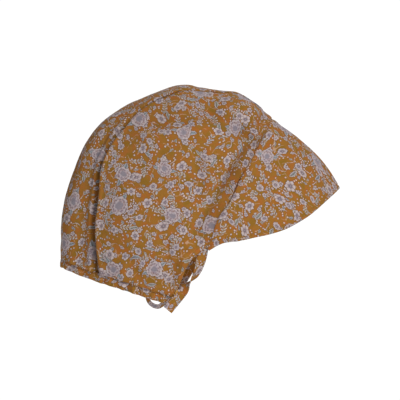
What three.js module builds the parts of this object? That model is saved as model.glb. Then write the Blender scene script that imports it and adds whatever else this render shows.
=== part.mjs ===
// A small child's peaked sun bonnet in lined cotton. Two side panels and a centre panel make the
// crown and the neck, a soft peak stands on the forehead, an elastic casing closes the neck hem,
// and a tape tie hangs from each side of the face opening.
// Millimetres. +X is forward, +Y to the wearer's left and +Z up. The origin is where the top of the
// head meets the inside of the crown.
import * as THREE from "three";

// Crown and neck, over the outside of the cloth
const CROWN_LENGTH = 210; // nape to forehead
const CROWN_RISE = 151; // ear line up to the top of the crown
const CROWN_WIDTH = 142; // over the ears
const NECK_DROP = 68; // ear line down to the front corners of the neck
const NECK_WIDTH = 120; // between those corners

// Peak, casing, ties and cloth
const PEAK_REACH = 69; // forehead seam forward to the tip
const PEAK_FALL = 67; // forehead seam down to the tip
const PEAK_THICKNESS = 2.4;
const PEAK_CAMBER = 6.4; // how far the peak arches above a straight line to its edge
const CASING_WIDTH = 9;
const CASING_THICKNESS = 2.8;
const CASING_PROUD = 0.5; // the casing's belly outside the cloth
const TIE_FALL = 60; // where the right tie is sewn on, down to its free end
const TIE_WIDTH = 10;
const TIE_THICKNESS = 1.2;
const CLOTH = 1.6; // print, lining and the air between them
const GAP = 0.3; // between pieces that are sewn together
const FOLD_DEPTH = 5; // the deepest dent in the cloth
const GATHER_DEPTH = 0.8; // the waves that the elastic makes
const GATHERS = 10; // waves from the nape to a front corner

// Facets
const RINGS = 12; // rings of a side panel, so twice as many facets along each of its four sides
const CENTRE_STATIONS = [0, 0.3, 0.58, 0.8, 1]; // across the centre panel, from its middle to its seam
const PEAK_ROWS = 7;
const CASING_RIBS = 120;
const CASING_ROWS = 2;
const TIE_STEPS = 28;
const TIE_FACETS = 3;

// The middle of the form, under the crown's highest point by its own offsets
const CROWN_TOP_FORWARD = 0.09;
const EAR = { x: -CROWN_TOP_FORWARD * CROWN_LENGTH, z: CLOTH - CROWN_RISE };
const HALF_WIDTH = CROWN_WIDTH / 2;

// The outline of the crown from the side, from the nape over the top to the forehead and down the
// open face, where it only guides the side panels. forward is a share of CROWN_LENGTH and up one of
// CROWN_RISE, both from the ear. fullness is how long the side stays wide, pinch how sharply it
// closes, panel the centre panel's half width as a share of HALF_WIDTH, and sag how far that panel
// sinks between its seams, as a share of FOLD_DEPTH.
const OUTLINE = [
  { forward: -0.495, up: 0.0, fullness: 1.8, pinch: 0.78, panel: 0.57, sag: 0 },
  { forward: -0.49, up: 0.119, fullness: 1.8, pinch: 0.74, panel: 0.58, sag: 0 },
  { forward: -0.467, up: 0.285, fullness: 1.8, pinch: 0.68, panel: 0.59, sag: 0 },
  { forward: -0.429, up: 0.444, fullness: 1.9, pinch: 0.62, panel: 0.58, sag: 0 },
  { forward: -0.376, up: 0.623, fullness: 2.0, pinch: 0.56, panel: 0.56, sag: 0 },
  { forward: -0.3, up: 0.752, fullness: 2.0, pinch: 0.52, panel: 0.53, sag: 0 },
  { forward: -0.21, up: 0.841, fullness: 2.2, pinch: 0.51, panel: 0.49, sag: 0 },
  { forward: -0.105, up: 0.917, fullness: 2.8, pinch: 0.5, panel: 0.44, sag: 0.1 },
  { forward: -0.01, up: 0.97, fullness: 3.1, pinch: 0.5, panel: 0.42, sag: 0.1 },
  { forward: 0.09, up: 1.0, fullness: 4.0, pinch: 0.5, panel: 0.4, sag: 0 },
  { forward: 0.167, up: 0.984, fullness: 4.8, pinch: 0.5, panel: 0.39, sag: 0.1 },
  { forward: 0.262, up: 0.968, fullness: 5.4, pinch: 0.5, panel: 0.38, sag: 0.2 },
  { forward: 0.352, up: 0.953, fullness: 5.6, pinch: 0.5, panel: 0.37, sag: 0.2 },
  { forward: 0.432, up: 0.894, fullness: 5.6, pinch: 0.5, panel: 0.36, sag: 0.2 },
  { forward: 0.478, up: 0.834, fullness: 5.4, pinch: 0.5, panel: 0.35, sag: 0.1 },
  { forward: 0.507, up: 0.755, fullness: 5.0, pinch: 0.5, panel: 0.34, sag: 0 },
  { forward: 0.502, up: 0.629, fullness: 4.0, pinch: 0.5, panel: 0.34, sag: 0 },
  { forward: 0.494, up: 0.497, fullness: 3.4, pinch: 0.5, panel: 0.34, sag: 0 },
  { forward: 0.5, up: 0.351, fullness: 3.1, pinch: 0.5, panel: 0.34, sag: 0 },
  { forward: 0.506, up: 0.179, fullness: 3.0, pinch: 0.5, panel: 0.34, sag: 0 },
  { forward: 0.505, up: 0.0, fullness: 3.0, pinch: 0.5, panel: 0.34, sag: 0 },
];
const NAPE = OUTLINE[0];
const FOREHEAD = OUTLINE[15];
const FACE = OUTLINE[OUTLINE.length - 1];

// The neck below the ear line, by its drop as a share of NECK_DROP. narrowing is how much of the
// way from CROWN_WIDTH to NECK_WIDTH the sides have come in.
const NECK = [
  { down: 0.0, narrowing: 0.0, fullness: 1.8, pinch: 0.78, panel: 0.57 },
  { down: 0.25, narrowing: 0.14, fullness: 1.8, pinch: 0.78, panel: 0.57 },
  { down: 0.5, narrowing: 0.38, fullness: 1.8, pinch: 0.78, panel: 0.57 },
  { down: 0.75, narrowing: 0.68, fullness: 1.8, pinch: 0.78, panel: 0.57 },
  { down: 1.0, narrowing: 1.0, fullness: 1.8, pinch: 0.78, panel: 0.57 },
];

// Lines on the side view, from the ear: forward as above, up as a share of CROWN_RISE above the ear
// line and of NECK_DROP below it.
const NECK_HEM = [
  { forward: -0.495, up: -0.46 },
  { forward: -0.42, up: -0.555 },
  { forward: -0.324, up: -0.66 },
  { forward: -0.2, up: -0.79 },
  { forward: -0.085, up: -0.91 },
  { forward: 0.02, up: -1.0 },
];
const FRONT_EDGE = [
  { forward: 0.02, up: -1.0 },
  { forward: 0.052, up: -0.8 },
  { forward: 0.08, up: -0.62 },
  { forward: 0.104, up: -0.45 },
  { forward: 0.138, up: -0.31 },
  { forward: 0.195, up: -0.16 },
  { forward: 0.247, up: 0.09 },
  { forward: 0.31, up: 0.222 },
  { forward: 0.388, up: 0.412 },
  { forward: 0.458, up: 0.585 },
];
const PEAK_END = 0.5; // where the peak ends on the front edge, as a share of it
const PANEL_MIDDLE = { forward: -0.02, up: 0.24 };

// The peak's free edge, from the tip round to the ear: forward is a share of the way from the ear end
// to the tip, drop one of the way down from the tip to the ear end, out one of HALF_WIDTH.
const PEAK_EDGE = [
  { forward: 1.0, drop: 0.0, out: 0.0 },
  { forward: 0.972, drop: 0.058, out: 0.22 },
  { forward: 0.918, drop: 0.165, out: 0.41 },
  { forward: 0.866, drop: 0.27, out: 0.55 },
  { forward: 0.813, drop: 0.374, out: 0.65 },
  { forward: 0.754, drop: 0.478, out: 0.74 },
  { forward: 0.679, drop: 0.583, out: 0.82 },
  { forward: 0.59, drop: 0.687, out: 0.89 },
  { forward: 0.478, drop: 0.774, out: 0.95 },
  { forward: 0.358, drop: 0.835, out: 0.985 },
  { forward: 0.239, drop: 0.896, out: 1.0 },
  { forward: 0.119, drop: 0.936, out: 0.99 },
  { forward: 0.02, drop: 1.06, out: 0.965 },
];

// Dents and ridges of the side panels. from and to are points of the side view as above, reach is the
// half width of the fold as a share of CROWN_LENGTH, and rise its height as a share of FOLD_DEPTH.
const FOLDS = [
  { what: "hollow over the side crease", from: [-0.05, 0.745], to: [0.22, 0.8], reach: 0.045, rise: -0.55 },
  { what: "side crease", from: [-0.07, 0.625], to: [0.2, 0.735], reach: 0.04, rise: 0.5 },
  { what: "hollow under the brow", from: [0.22, 0.785], to: [0.4, 0.66], reach: 0.035, rise: -0.75 },
  { what: "hollow ahead of the brow", from: [0.4, 0.66], to: [0.475, 0.755], reach: 0.03, rise: -0.6 },
  { what: "brow swelling", from: [0.35, 0.82], to: [0.42, 0.78], reach: 0.06, rise: 0.7 },
  { what: "roll in to the peak, upper", from: [0.44, 0.6], to: [0.34, 0.38], reach: 0.045, rise: -0.7 },
  { what: "roll in to the peak, lower", from: [0.34, 0.38], to: [0.2, 0.02], reach: 0.04, rise: -0.6 },
  { what: "temple crease", from: [0.165, 0.47], to: [0.175, 0.25], reach: 0.028, rise: -0.3 },
  { what: "cheek crease", from: [-0.02, 0.14], to: [-0.015, 0.02], reach: 0.03, rise: -0.25 },
  { what: "ear crease", from: [0.012, -0.15], to: [0.02, -0.42], reach: 0.025, rise: -0.35 },
  { what: "ear ridge", from: [0.09, -0.36], to: [0.05, -0.74], reach: 0.028, rise: 0.4 },
];
// In the centre panel beside its seams: from and to are shares of its length, where it has begun and ended
// over the share fade, reach a share of its half width, and rise as above.
const SEAM_VALLEY = { from: 0.4, to: 0.9, fade: 0.09, reach: 0.19, rise: -0.75 };

// The ties, from where they are sewn on: forward and up as shares of TIE_FALL, across the share of
// the way from the middle plane out to the sewn end, and turn the twist of the tape in degrees, 0
// where its width lies in the side view.
const TIE_SEWN = { forward: 0.17, up: -0.215 }; // on the side view, just under the peak's end
const RIGHT_TIE = [
  { forward: 0.01, up: 0.16, across: 1.0, turn: 0 },
  { forward: 0.0, up: 0.0, across: 1.0, turn: 0 },
  { forward: 0.035, up: -0.13, across: 0.995, turn: 8 },
  { forward: 0.01, up: -0.27, across: 0.99, turn: 30 },
  { forward: -0.06, up: -0.38, across: 0.985, turn: 52 },
  { forward: -0.135, up: -0.465, across: 0.98, turn: 76 },
  { forward: -0.195, up: -0.52, across: 0.98, turn: 100 },
  { forward: -0.235, up: -0.575, across: 0.98, turn: 132 },
  { forward: -0.285, up: -0.66, across: 0.98, turn: 160 },
  { forward: -0.36, up: -0.755, across: 0.98, turn: 176 },
  { forward: -0.455, up: -0.87, across: 0.98, turn: 180 },
  { forward: -0.56, up: -1.0, across: 0.98, turn: 180 },
];
const LEFT_TIE = [
  { forward: 0.01, up: 0.16, across: 1.0, turn: 0 },
  { forward: -0.02, up: 0.0, across: 0.99, turn: 0 },
  { forward: -0.08, up: -0.13, across: 0.94, turn: 5 },
  { forward: -0.16, up: -0.25, across: 0.88, turn: 10 },
  { forward: -0.24, up: -0.37, across: 0.84, turn: 15 },
  { forward: -0.32, up: -0.49, across: 0.8, turn: 20 },
  { forward: -0.395, up: -0.61, across: 0.77, turn: 30 },
  { forward: -0.465, up: -0.73, across: 0.75, turn: 45 },
  { forward: -0.54, up: -0.84, across: 0.73, turn: 70 },
  { forward: -0.63, up: -0.925, across: 0.71, turn: 88 },
  { forward: -0.74, up: -0.97, across: 0.69, turn: 92 },
  { forward: -0.845, up: -0.915, across: 0.67, turn: 92 },
  { forward: -0.91, up: -0.8, across: 0.66, turn: 90 },
  { forward: -0.935, up: -0.66, across: 0.66, turn: 88 },
  { forward: -0.925, up: -0.52, across: 0.66, turn: 86 },
];

// A smooth function through one column of rows, by another column or by evenly spaced rows.
function track(rows, column, along) {
  const at = rows.map((row, i) => (along ? along(row) : i / (rows.length - 1)));
  const value = rows.map((row) => row[column]);
  const slope = value.map((v, i) => {
    const a = Math.max(i - 1, 0);
    const b = Math.min(i + 1, value.length - 1);
    return (value[b] - value[a]) / (at[b] - at[a]);
  });
  return (where) => {
    const t = Math.min(Math.max(where, at[0]), at[at.length - 1]);
    let i = 0;
    while (i < at.length - 2 && t > at[i + 1]) i += 1;
    const span = at[i + 1] - at[i];
    const s = (t - at[i]) / span;
    const rest = 1 - s;
    return (
      value[i] * (1 + 2 * s) * rest * rest +
      value[i + 1] * s * s * (3 - 2 * s) +
      span * s * rest * (slope[i] * rest - slope[i + 1] * s)
    );
  };
}

// All the columns of a table as smooth functions.
function tracks(rows, along) {
  const columns = Object.keys(rows[0]);
  return Object.fromEntries(columns.map((column) => [column, track(rows, column, along)]));
}

const angleOf = (row) => Math.atan2(row.up, row.forward);
const polar = (row) => ({ ...row, radius: Math.hypot(row.forward, row.up) });
const crown = tracks([...OUTLINE].reverse().map(polar), angleOf);
const neck = tracks(NECK, (row) => row.down);
const FOREHEAD_ANGLE = angleOf(FOREHEAD);

// A point of the side view in millimetres, from its shares.
function place({ forward, up }) {
  return {
    x: EAR.x + forward * CROWN_LENGTH,
    z: EAR.z + up * (up > 0 ? CROWN_RISE : NECK_DROP),
  };
}

const neckHalfWidth = (down) => HALF_WIDTH + (NECK_WIDTH / 2 - HALF_WIDTH) * neck.narrowing(down);

// How the form closes at a point of the side view: its half width w there at the middle, how far out
// the point lies (1 on the outline), and the two exponents.
function closing(x, z) {
  const forward = (x - EAR.x) / CROWN_LENGTH;
  if (z >= EAR.z) {
    const up = (z - EAR.z) / CROWN_RISE;
    const angle = Math.atan2(up, forward);
    return {
      w: HALF_WIDTH,
      out: Math.hypot(forward, up) / crown.radius(angle),
      fullness: crown.fullness(angle),
      pinch: crown.pinch(angle),
    };
  }
  const down = (EAR.z - z) / NECK_DROP;
  const w = neckHalfWidth(down);
  if (forward > 0) return { w, out: forward / FACE.forward, fullness: FACE.fullness, pinch: FACE.pinch };
  return { w, out: forward / NAPE.forward, fullness: neck.fullness(down), pinch: neck.pinch(down) };
}

// The form's half width at a point of the side view.
function halfWidth(x, z) {
  const { w, out, fullness, pinch } = closing(x, z);
  return w * Math.max(0, 1 - out ** fullness) ** pinch;
}

// The outward normal of the form at a point on it.
const SMALL = 0.05;
function outward(p) {
  const level = (x, y, z) => {
    const { w, out, fullness, pinch } = closing(x, z);
    return (Math.abs(y) / w) ** (1 / pinch) + out ** fullness;
  };
  return new THREE.Vector3(
    level(p.x + SMALL, p.y, p.z) - level(p.x - SMALL, p.y, p.z),
    level(p.x, p.y + SMALL, p.z) - level(p.x, p.y - SMALL, p.z),
    level(p.x, p.y, p.z + SMALL) - level(p.x, p.y, p.z - SMALL),
  ).normalize();
}

// How high the folds of the side panels stand at a point of the side view.
function foldHeight(x, z) {
  let height = 0;
  for (const { from, to, reach, rise } of FOLDS) {
    const a = place({ forward: from[0], up: from[1] });
    const b = place({ forward: to[0], up: to[1] });
    const run = { x: b.x - a.x, z: b.z - a.z };
    const share = ((x - a.x) * run.x + (z - a.z) * run.z) / (run.x ** 2 + run.z ** 2);
    const near = Math.min(Math.max(share, 0), 1);
    const away = Math.hypot(x - a.x - near * run.x, z - a.z - near * run.z);
    height += rise * FOLD_DEPTH * Math.exp(-((away / (reach * CROWN_LENGTH)) ** 2));
  }
  return height;
}

// A line of the side view by its share, moved some millimetres to its left as one walks along it.
function line(rows) {
  const { forward, up } = tracks(rows);
  const at = (share) => place({ forward: forward(share), up: up(share) });
  return (share, aside = 0) => {
    const a = at(Math.max(share - 0.02, 0));
    const b = at(Math.min(share + 0.02, 1));
    const p = at(share);
    const run = Math.hypot(b.x - a.x, b.z - a.z);
    return { x: p.x - (aside * (b.z - a.z)) / run, z: p.z + (aside * (b.x - a.x)) / run };
  };
}
const hemLine = line(NECK_HEM);

// The waves above the elastic: around runs along the hem from the nape (0) to the front corner (1),
// and rise is how far above the hem the point lies.
function gatherHeight(around, rise) {
  const fade = Math.exp(-Math.max(rise - CASING_WIDTH, 0) / (2.5 * CASING_WIDTH));
  return GATHER_DEPTH * fade * Math.sin(2 * Math.PI * GATHERS * around);
}

// A point of the side panel's outside and its normal, on the right of the wearer.
function sidePoint(x, z) {
  const point = new THREE.Vector3(x, -halfWidth(x, z), z);
  const normal = outward(point);
  point.addScaledVector(normal, foldHeight(x, z));
  return { point, normal };
}

// How far out the centre panel lies, 1 on the outline: across is 0 at its middle and 1 at its seam.
const CENTRE_ARCH = 2.2;
function arched(w, panel, pinch, fullness, across, trim) {
  const y = panel * HALF_WIDTH + trim;
  const seam = (1 - (y / w) ** (1 / pinch)) ** (1 / fullness);
  return { y: across * y, out: 1 - (1 - seam) * Math.abs(across) ** CENTRE_ARCH };
}

// The centre panel above the ear line, by the angle in the side view, and below it, by its height.
function crownCentre(angle, across, trim = 0) {
  const { y, out } = arched(
    HALF_WIDTH,
    crown.panel(angle),
    crown.pinch(angle),
    crown.fullness(angle),
    across,
    trim,
  );
  const sag = (crown.sag(angle) * FOLD_DEPTH * (1 - across * across)) / CROWN_RISE;
  const radius = crown.radius(angle) * out - sag;
  const p = place({ forward: Math.cos(angle) * radius, up: Math.sin(angle) * radius });
  return new THREE.Vector3(p.x, y, p.z);
}
function neckCentre(z, across, trim = 0) {
  const down = (EAR.z - z) / NECK_DROP;
  const w = neckHalfWidth(down);
  const { y, out } = arched(w, neck.panel(down), neck.pinch(down), neck.fullness(down), across, trim);
  return new THREE.Vector3(EAR.x + NAPE.forward * CROWN_LENGTH * out, y, z);
}

// The share of the hem where the seam of the centre panel comes down to it.
function seamMeetsHem(rise) {
  let [low, high] = [0, 1];
  for (let i = 0; i < 40; i += 1) {
    const share = (low + high) / 2;
    const p = hemLine(share, rise);
    if (p.x < neckCentre(p.z, 1).x) low = share;
    else high = share;
  }
  return low;
}

// A point at some millimetres above the hem on the right of the wearer, from the nape (0) round to the
// front corner (1).
const CENTRE_HEM = 0.3; // the centre panel's part of it
function hemPoint(around, rise) {
  const seam = seamMeetsHem(rise);
  if (around <= CENTRE_HEM) {
    const across = around / CENTRE_HEM;
    return neckCentre(hemLine(seam * across ** CENTRE_ARCH, rise).z, -across);
  }
  const share = seam + ((around - CENTRE_HEM) / (1 - CENTRE_HEM)) * (1 - seam);
  const p = hemLine(share, rise);
  return new THREE.Vector3(p.x, -halfWidth(p.x, p.z), p.z);
}

// The centre panel: along is 0 at the forehead and 1 at the casing, across -1 at the right seam and 1
// at the left one.
const CROWN_SHARE = 0.8; // of the panel's rows lie above the ear line
const PANEL_END = CASING_WIDTH + GAP;
function centrePoint(along, across, trim = 0) {
  if (along <= CROWN_SHARE) {
    const angle = FOREHEAD_ANGLE + (along / CROWN_SHARE) * (Math.PI - FOREHEAD_ANGLE);
    return crownCentre(angle, across, trim);
  }
  const lowest = hemLine(Math.abs(across) ** CENTRE_ARCH * seamMeetsHem(PANEL_END), PANEL_END).z;
  const down = (along - CROWN_SHARE) / (1 - CROWN_SHARE);
  return neckCentre(EAR.z + down * (lowest - EAR.z), across, trim);
}

// A closed sheet of cloth: rows of { point, normal } on its outside, the same points moved inwards,
// and a rim all round.
function sheet(rows, thickness) {
  const [m, n] = [rows.length, rows[0].length];
  const outside = rows.flat().map(({ point }) => point);
  const inside = rows.flat().map(({ point, normal }) => point.clone().addScaledVector(normal, -thickness));
  const points = [...outside, ...inside];
  const at = (i, j, layer) => layer * m * n + i * n + j;
  const index = [];
  const quad = (a, b, c, d) => {
    const short = points[a].distanceTo(points[c]) <= points[b].distanceTo(points[d]);
    index.push(...(short ? [a, b, c, a, c, d] : [a, b, d, b, c, d]));
  };
  for (let i = 0; i + 1 < m; i += 1) {
    for (let j = 0; j + 1 < n; j += 1) {
      quad(at(i, j, 0), at(i + 1, j, 0), at(i + 1, j + 1, 0), at(i, j + 1, 0));
      quad(at(i, j, 1), at(i, j + 1, 1), at(i + 1, j + 1, 1), at(i + 1, j, 1));
    }
  }
  for (let j = 0; j + 1 < n; j += 1) {
    quad(at(0, j, 1), at(0, j, 0), at(0, j + 1, 0), at(0, j + 1, 1));
    quad(at(m - 1, j, 0), at(m - 1, j, 1), at(m - 1, j + 1, 1), at(m - 1, j + 1, 0));
  }
  for (let i = 0; i + 1 < m; i += 1) {
    quad(at(i, 0, 0), at(i, 0, 1), at(i + 1, 0, 1), at(i + 1, 0, 0));
    quad(at(i, n - 1, 1), at(i, n - 1, 0), at(i + 1, n - 1, 0), at(i + 1, n - 1, 1));
  }
  const geometry = new THREE.BufferGeometry().setFromPoints(points).setIndex(index);
  geometry.computeVertexNormals();
  return geometry;
}

// Rows of a sheet from a function of two shares.
function rowsOf(m, n, pointAt) {
  const rows = [];
  for (let i = 0; i <= m; i += 1) {
    const row = [];
    for (let j = 0; j <= n; j += 1) row.push(pointAt(i / m, j / n));
    rows.push(row);
  }
  return rows;
}

// The normal of a surface given by two shares, from its points close by.
function normalOf(pointAt, s, t) {
  const near = 1e-3;
  const along = pointAt(s + near, t).sub(pointAt(s - near, t));
  const across = pointAt(s, t + near).sub(pointAt(s, t - near));
  return along.cross(across).normalize();
}

// The front edge runs up to the corner where the side panel meets the centre panel.
const corner = crownCentre(FOREHEAD_ANGLE, 1, GAP);
const frontLine = line([
  ...FRONT_EDGE,
  { forward: (corner.x - EAR.x) / CROWN_LENGTH, up: (corner.z - EAR.z) / CROWN_RISE },
]);

// The border of a side panel, seen from the side, in four stretches of 0 to 1: the seam from the
// forehead to the back of the crown, the seam down to the neck, the casing line, and the front edge.
const SEAM_TURN = 0.52; // where the first stretch ends, as a share of the seam
const FRONT_START = 1 / 13; // where the front edge leaves the casing
const seamShare = (t) => (t < 0.5 ? 2 * t * SEAM_TURN : SEAM_TURN + (2 * t - 1) * (1 - SEAM_TURN));
function panelBorder(stretch, share) {
  if (stretch < 2) {
    const p = centrePoint(seamShare((stretch + share) / 2), 1, GAP);
    return { x: p.x, z: p.z };
  }
  const start = seamMeetsHem(PANEL_END);
  if (stretch === 2) return hemLine(start + share * (1 - start), PANEL_END);
  return frontLine(FRONT_START + share * (1 - FRONT_START));
}

// A side panel as a square of rings that grow from its middle out to its border.
function sidePanel(side) {
  const middle = place(PANEL_MIDDLE);
  const rows = rowsOf(2 * RINGS, 2 * RINGS, (s, t) => {
    const [a, b] = [2 * s - 1, 2 * t - 1];
    const ring = Math.max(Math.abs(a), Math.abs(b));
    let p = middle;
    if (ring > 0) {
      const [u, v] = [a / ring, b / ring];
      const stretch = v > 1 - 1e-9 ? 0 : u < -1 + 1e-9 ? 1 : v < -1 + 1e-9 ? 2 : 3;
      const share = [(1 - u) / 2, (1 - v) / 2, (1 + u) / 2, (1 + v) / 2][stretch];
      const edge = panelBorder(stretch, share);
      const grown = Math.sin((ring * Math.PI) / 2) ** 0.85;
      p = { x: middle.x + (edge.x - middle.x) * grown, z: middle.z + (edge.z - middle.z) * grown };
    }
    const { point, normal } = sidePoint(p.x, p.z);
    point.y *= -side;
    normal.y *= -side;
    return { point, normal };
  });
  return sheet(side < 0 ? rows : rows.reverse(), CLOTH);
}

function centrePanel() {
  const half = CENTRE_STATIONS.length - 1;
  const rows = rowsOf(4 * RINGS, 2 * half, (t, s) => {
    const along = seamShare(t);
    const station = Math.round(half * (1 - 2 * s));
    const across = Math.sign(station) * CENTRE_STATIONS[Math.abs(station)];
    const point = centrePoint(along, across);
    const normal = outward(point);
    const beside = Math.exp(-(((1 - Math.abs(across)) / SEAM_VALLEY.reach - 1) ** 2));
    const outside = Math.max(SEAM_VALLEY.from - along, along - SEAM_VALLEY.to, 0) / SEAM_VALLEY.fade;
    const valley = SEAM_VALLEY.rise * FOLD_DEPTH * beside * Math.max(0, 1 - outside ** 2);
    const fold = foldHeight(point.x, point.z) * Math.abs(across) ** 3;
    point.addScaledVector(normal, valley + fold);
    return { point, normal };
  });
  return sheet(rows, CLOTH);
}

// The peak's inner edge, a gap ahead of the crown: around is 0 at the forehead and 1 at the ear end.
const CENTRE_AROUND = 0.165; // the centre panel's part of it
function crownEdge(around) {
  if (around > CENTRE_AROUND) {
    const share = 1 - ((around - CENTRE_AROUND) / (1 - CENTRE_AROUND)) * (1 - PEAK_END);
    const p = frontLine(share);
    return sidePoint(p.x, p.z);
  }
  const point = crownCentre(FOREHEAD_ANGLE, -around / CENTRE_AROUND);
  const normal = outward(point);
  point.addScaledVector(normal, foldHeight(point.x, point.z) * (around / CENTRE_AROUND) ** 3);
  return { point, normal };
}
function peakSeam(around) {
  const { point, normal } = crownEdge(around);
  const run = crownEdge(Math.min(around + 0.01, 1)).point.sub(crownEdge(Math.max(around - 0.01, 0)).point);
  return { point: point.addScaledVector(normal.clone().cross(run).normalize(), GAP), normal };
}

// Ribs of the peak, as many as the crown's stations ahead of them, from the middle out.
const CROWN_STATIONS = Math.round((2 * RINGS * (1 - PEAK_END)) / (1 - FRONT_START));
const peakStations = [
  ...CENTRE_STATIONS.map((station) => station * CENTRE_AROUND),
  ...Array.from({ length: CROWN_STATIONS }, (_, i) => {
    return CENTRE_AROUND + ((i + 1) / CROWN_STATIONS) * (1 - CENTRE_AROUND);
  }),
];

const peakEdge = tracks([...PEAK_EDGE.slice(1).reverse().map((row) => ({ ...row, out: -row.out })), ...PEAK_EDGE]);
const PEAK_EAR = frontLine(PEAK_END);
const PEAK_TIP = {
  x: place(FOREHEAD).x + PEAK_REACH,
  z: place(FOREHEAD).z - PEAK_FALL,
};

function peak() {
  const surface = (out, around) => {
    const side = Math.abs(around);
    const seam = peakSeam(side).point;
    const edge = new THREE.Vector3(
      PEAK_EAR.x + peakEdge.forward((1 + side) / 2) * (PEAK_TIP.x - PEAK_EAR.x),
      -peakEdge.out((1 + side) / 2) * HALF_WIDTH,
      PEAK_TIP.z + peakEdge.drop((1 + side) / 2) * (PEAK_EAR.z - PEAK_TIP.z),
    );
    const camber = 4 * out * (1 - out) * PEAK_CAMBER * (1 - side ** 2);
    const up = new THREE.Vector3(seam.z - edge.z, 0, edge.x - seam.x).normalize();
    const point = seam.lerp(edge, out).addScaledVector(up, camber);
    if (around > 0) point.y *= -1;
    return point;
  };
  const half = peakStations.length - 1;
  const rows = rowsOf(PEAK_ROWS, 2 * half, (out, t) => {
    const station = Math.round(half * (2 * t - 1));
    const around = Math.sign(station) * peakStations[Math.abs(station)];
    const point = surface(out, around);
    const normal = normalOf(surface, Math.max(out, 0.02), Math.min(Math.max(around, -0.99), 0.99));
    const crownNormal = peakSeam(Math.abs(around)).normal;
    if (around > 0) crownNormal.y *= -1;
    normal.lerp(crownNormal, Math.max(0, 1 - 3 * out)).normalize();
    return { point, normal };
  });
  return sheet(rows, PEAK_THICKNESS);
}

function neckCasing() {
  const rows = rowsOf(CASING_ROWS, CASING_RIBS, (rise, t) => {
    const around = 2 * t - 1;
    const height = rise * CASING_WIDTH;
    const point = hemPoint(Math.abs(around), height);
    const normal = outward(point);
    const belly = CASING_PROUD * (1 - (2 * rise - 1) ** 4);
    point.addScaledVector(normal, belly + gatherHeight(Math.abs(around), height));
    if (around > 0) {
      point.y *= -1;
      normal.y *= -1;
    }
    return { point, normal };
  });
  return sheet(rows, CASING_THICKNESS);
}

// A tie: its tape is swept along the table's line and twisted by its turns.
function tie(table, side) {
  const at = tracks(table);
  const sewn = place(TIE_SEWN);
  const inner = halfWidth(sewn.x, sewn.z) - PEAK_THICKNESS - 2 * GAP - TIE_THICKNESS / 2;
  const middle = (t) =>
    new THREE.Vector3(
      sewn.x + at.forward(t) * TIE_FALL,
      side * inner * at.across(t),
      sewn.z + at.up(t) * TIE_FALL,
    );
  const surface = (t, s) => {
    const run = middle(t + 1e-3).sub(middle(t - 1e-3)).normalize();
    const turn = THREE.MathUtils.degToRad(at.turn(t));
    const flat = new THREE.Vector3(run.z, 0, -run.x).normalize();
    const wide = flat.multiplyScalar(Math.cos(turn));
    wide.y = side * Math.sin(turn);
    return middle(t).addScaledVector(wide, (s - 0.5) * TIE_WIDTH);
  };
  const rows = rowsOf(TIE_STEPS, TIE_FACETS, (t, s) => {
    const within = Math.min(Math.max(t, 0.002), 0.998);
    const normal = normalOf(surface, within, s);
    return { point: surface(within, s).addScaledVector(normal, TIE_THICKNESS / 2), normal };
  });
  return sheet(rows, TIE_THICKNESS);
}

const CLOTH_FINISH = { roughness: 0.9, metalness: 0 };
const materials = {
  print: new THREE.MeshStandardMaterial({ color: 0xa5702f, ...CLOTH_FINISH }),
  tape: new THREE.MeshStandardMaterial({ color: 0x9a6a30, ...CLOTH_FINISH }),
};

const cap = new THREE.Group();
function add(name, geometry, material) {
  const mesh = new THREE.Mesh(geometry, material);
  mesh.name = name;
  cap.add(mesh);
}

add("side_panel_right", sidePanel(-1), materials.print);
add("side_panel_left", sidePanel(1), materials.print);
add("centre_panel", centrePanel(), materials.print);
add("peak", peak(), materials.print);
add("neck_casing", neckCasing(), materials.print);
add("tie_right", tie(RIGHT_TIE, -1), materials.tape);
add("tie_left", tie(LEFT_TIE, 1), materials.tape);

export default cap;
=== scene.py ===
"""A small child's peaked sun bonnet in lined printed cotton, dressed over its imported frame.

The form is worked out in millimetres and made in metres. +X is forward, +Y to the wearer's left and
+Z up, and the origin is where the top of the head meets the inside of the crown.
"""

import logging
import math
from dataclasses import dataclass, field
from enum import Enum
from typing import Any, Callable, Iterable

import bmesh
import bpy
import numpy as np
from mathutils import Matrix, Vector


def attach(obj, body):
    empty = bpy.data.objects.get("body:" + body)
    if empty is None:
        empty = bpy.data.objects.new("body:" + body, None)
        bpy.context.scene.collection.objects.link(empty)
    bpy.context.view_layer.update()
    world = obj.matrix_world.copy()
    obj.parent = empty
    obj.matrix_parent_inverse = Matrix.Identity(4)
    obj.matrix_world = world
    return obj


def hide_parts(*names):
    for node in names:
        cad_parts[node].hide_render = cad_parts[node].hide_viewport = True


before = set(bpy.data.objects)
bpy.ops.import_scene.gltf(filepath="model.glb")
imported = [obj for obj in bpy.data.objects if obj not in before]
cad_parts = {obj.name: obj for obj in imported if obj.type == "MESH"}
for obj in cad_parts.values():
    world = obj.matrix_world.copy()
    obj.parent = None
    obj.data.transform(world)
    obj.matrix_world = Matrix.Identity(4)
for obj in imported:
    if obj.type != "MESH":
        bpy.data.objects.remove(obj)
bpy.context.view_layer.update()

Array = np.ndarray
MM = 0.001
BODY = "root"
log = logging.getLogger("bonnet")

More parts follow.
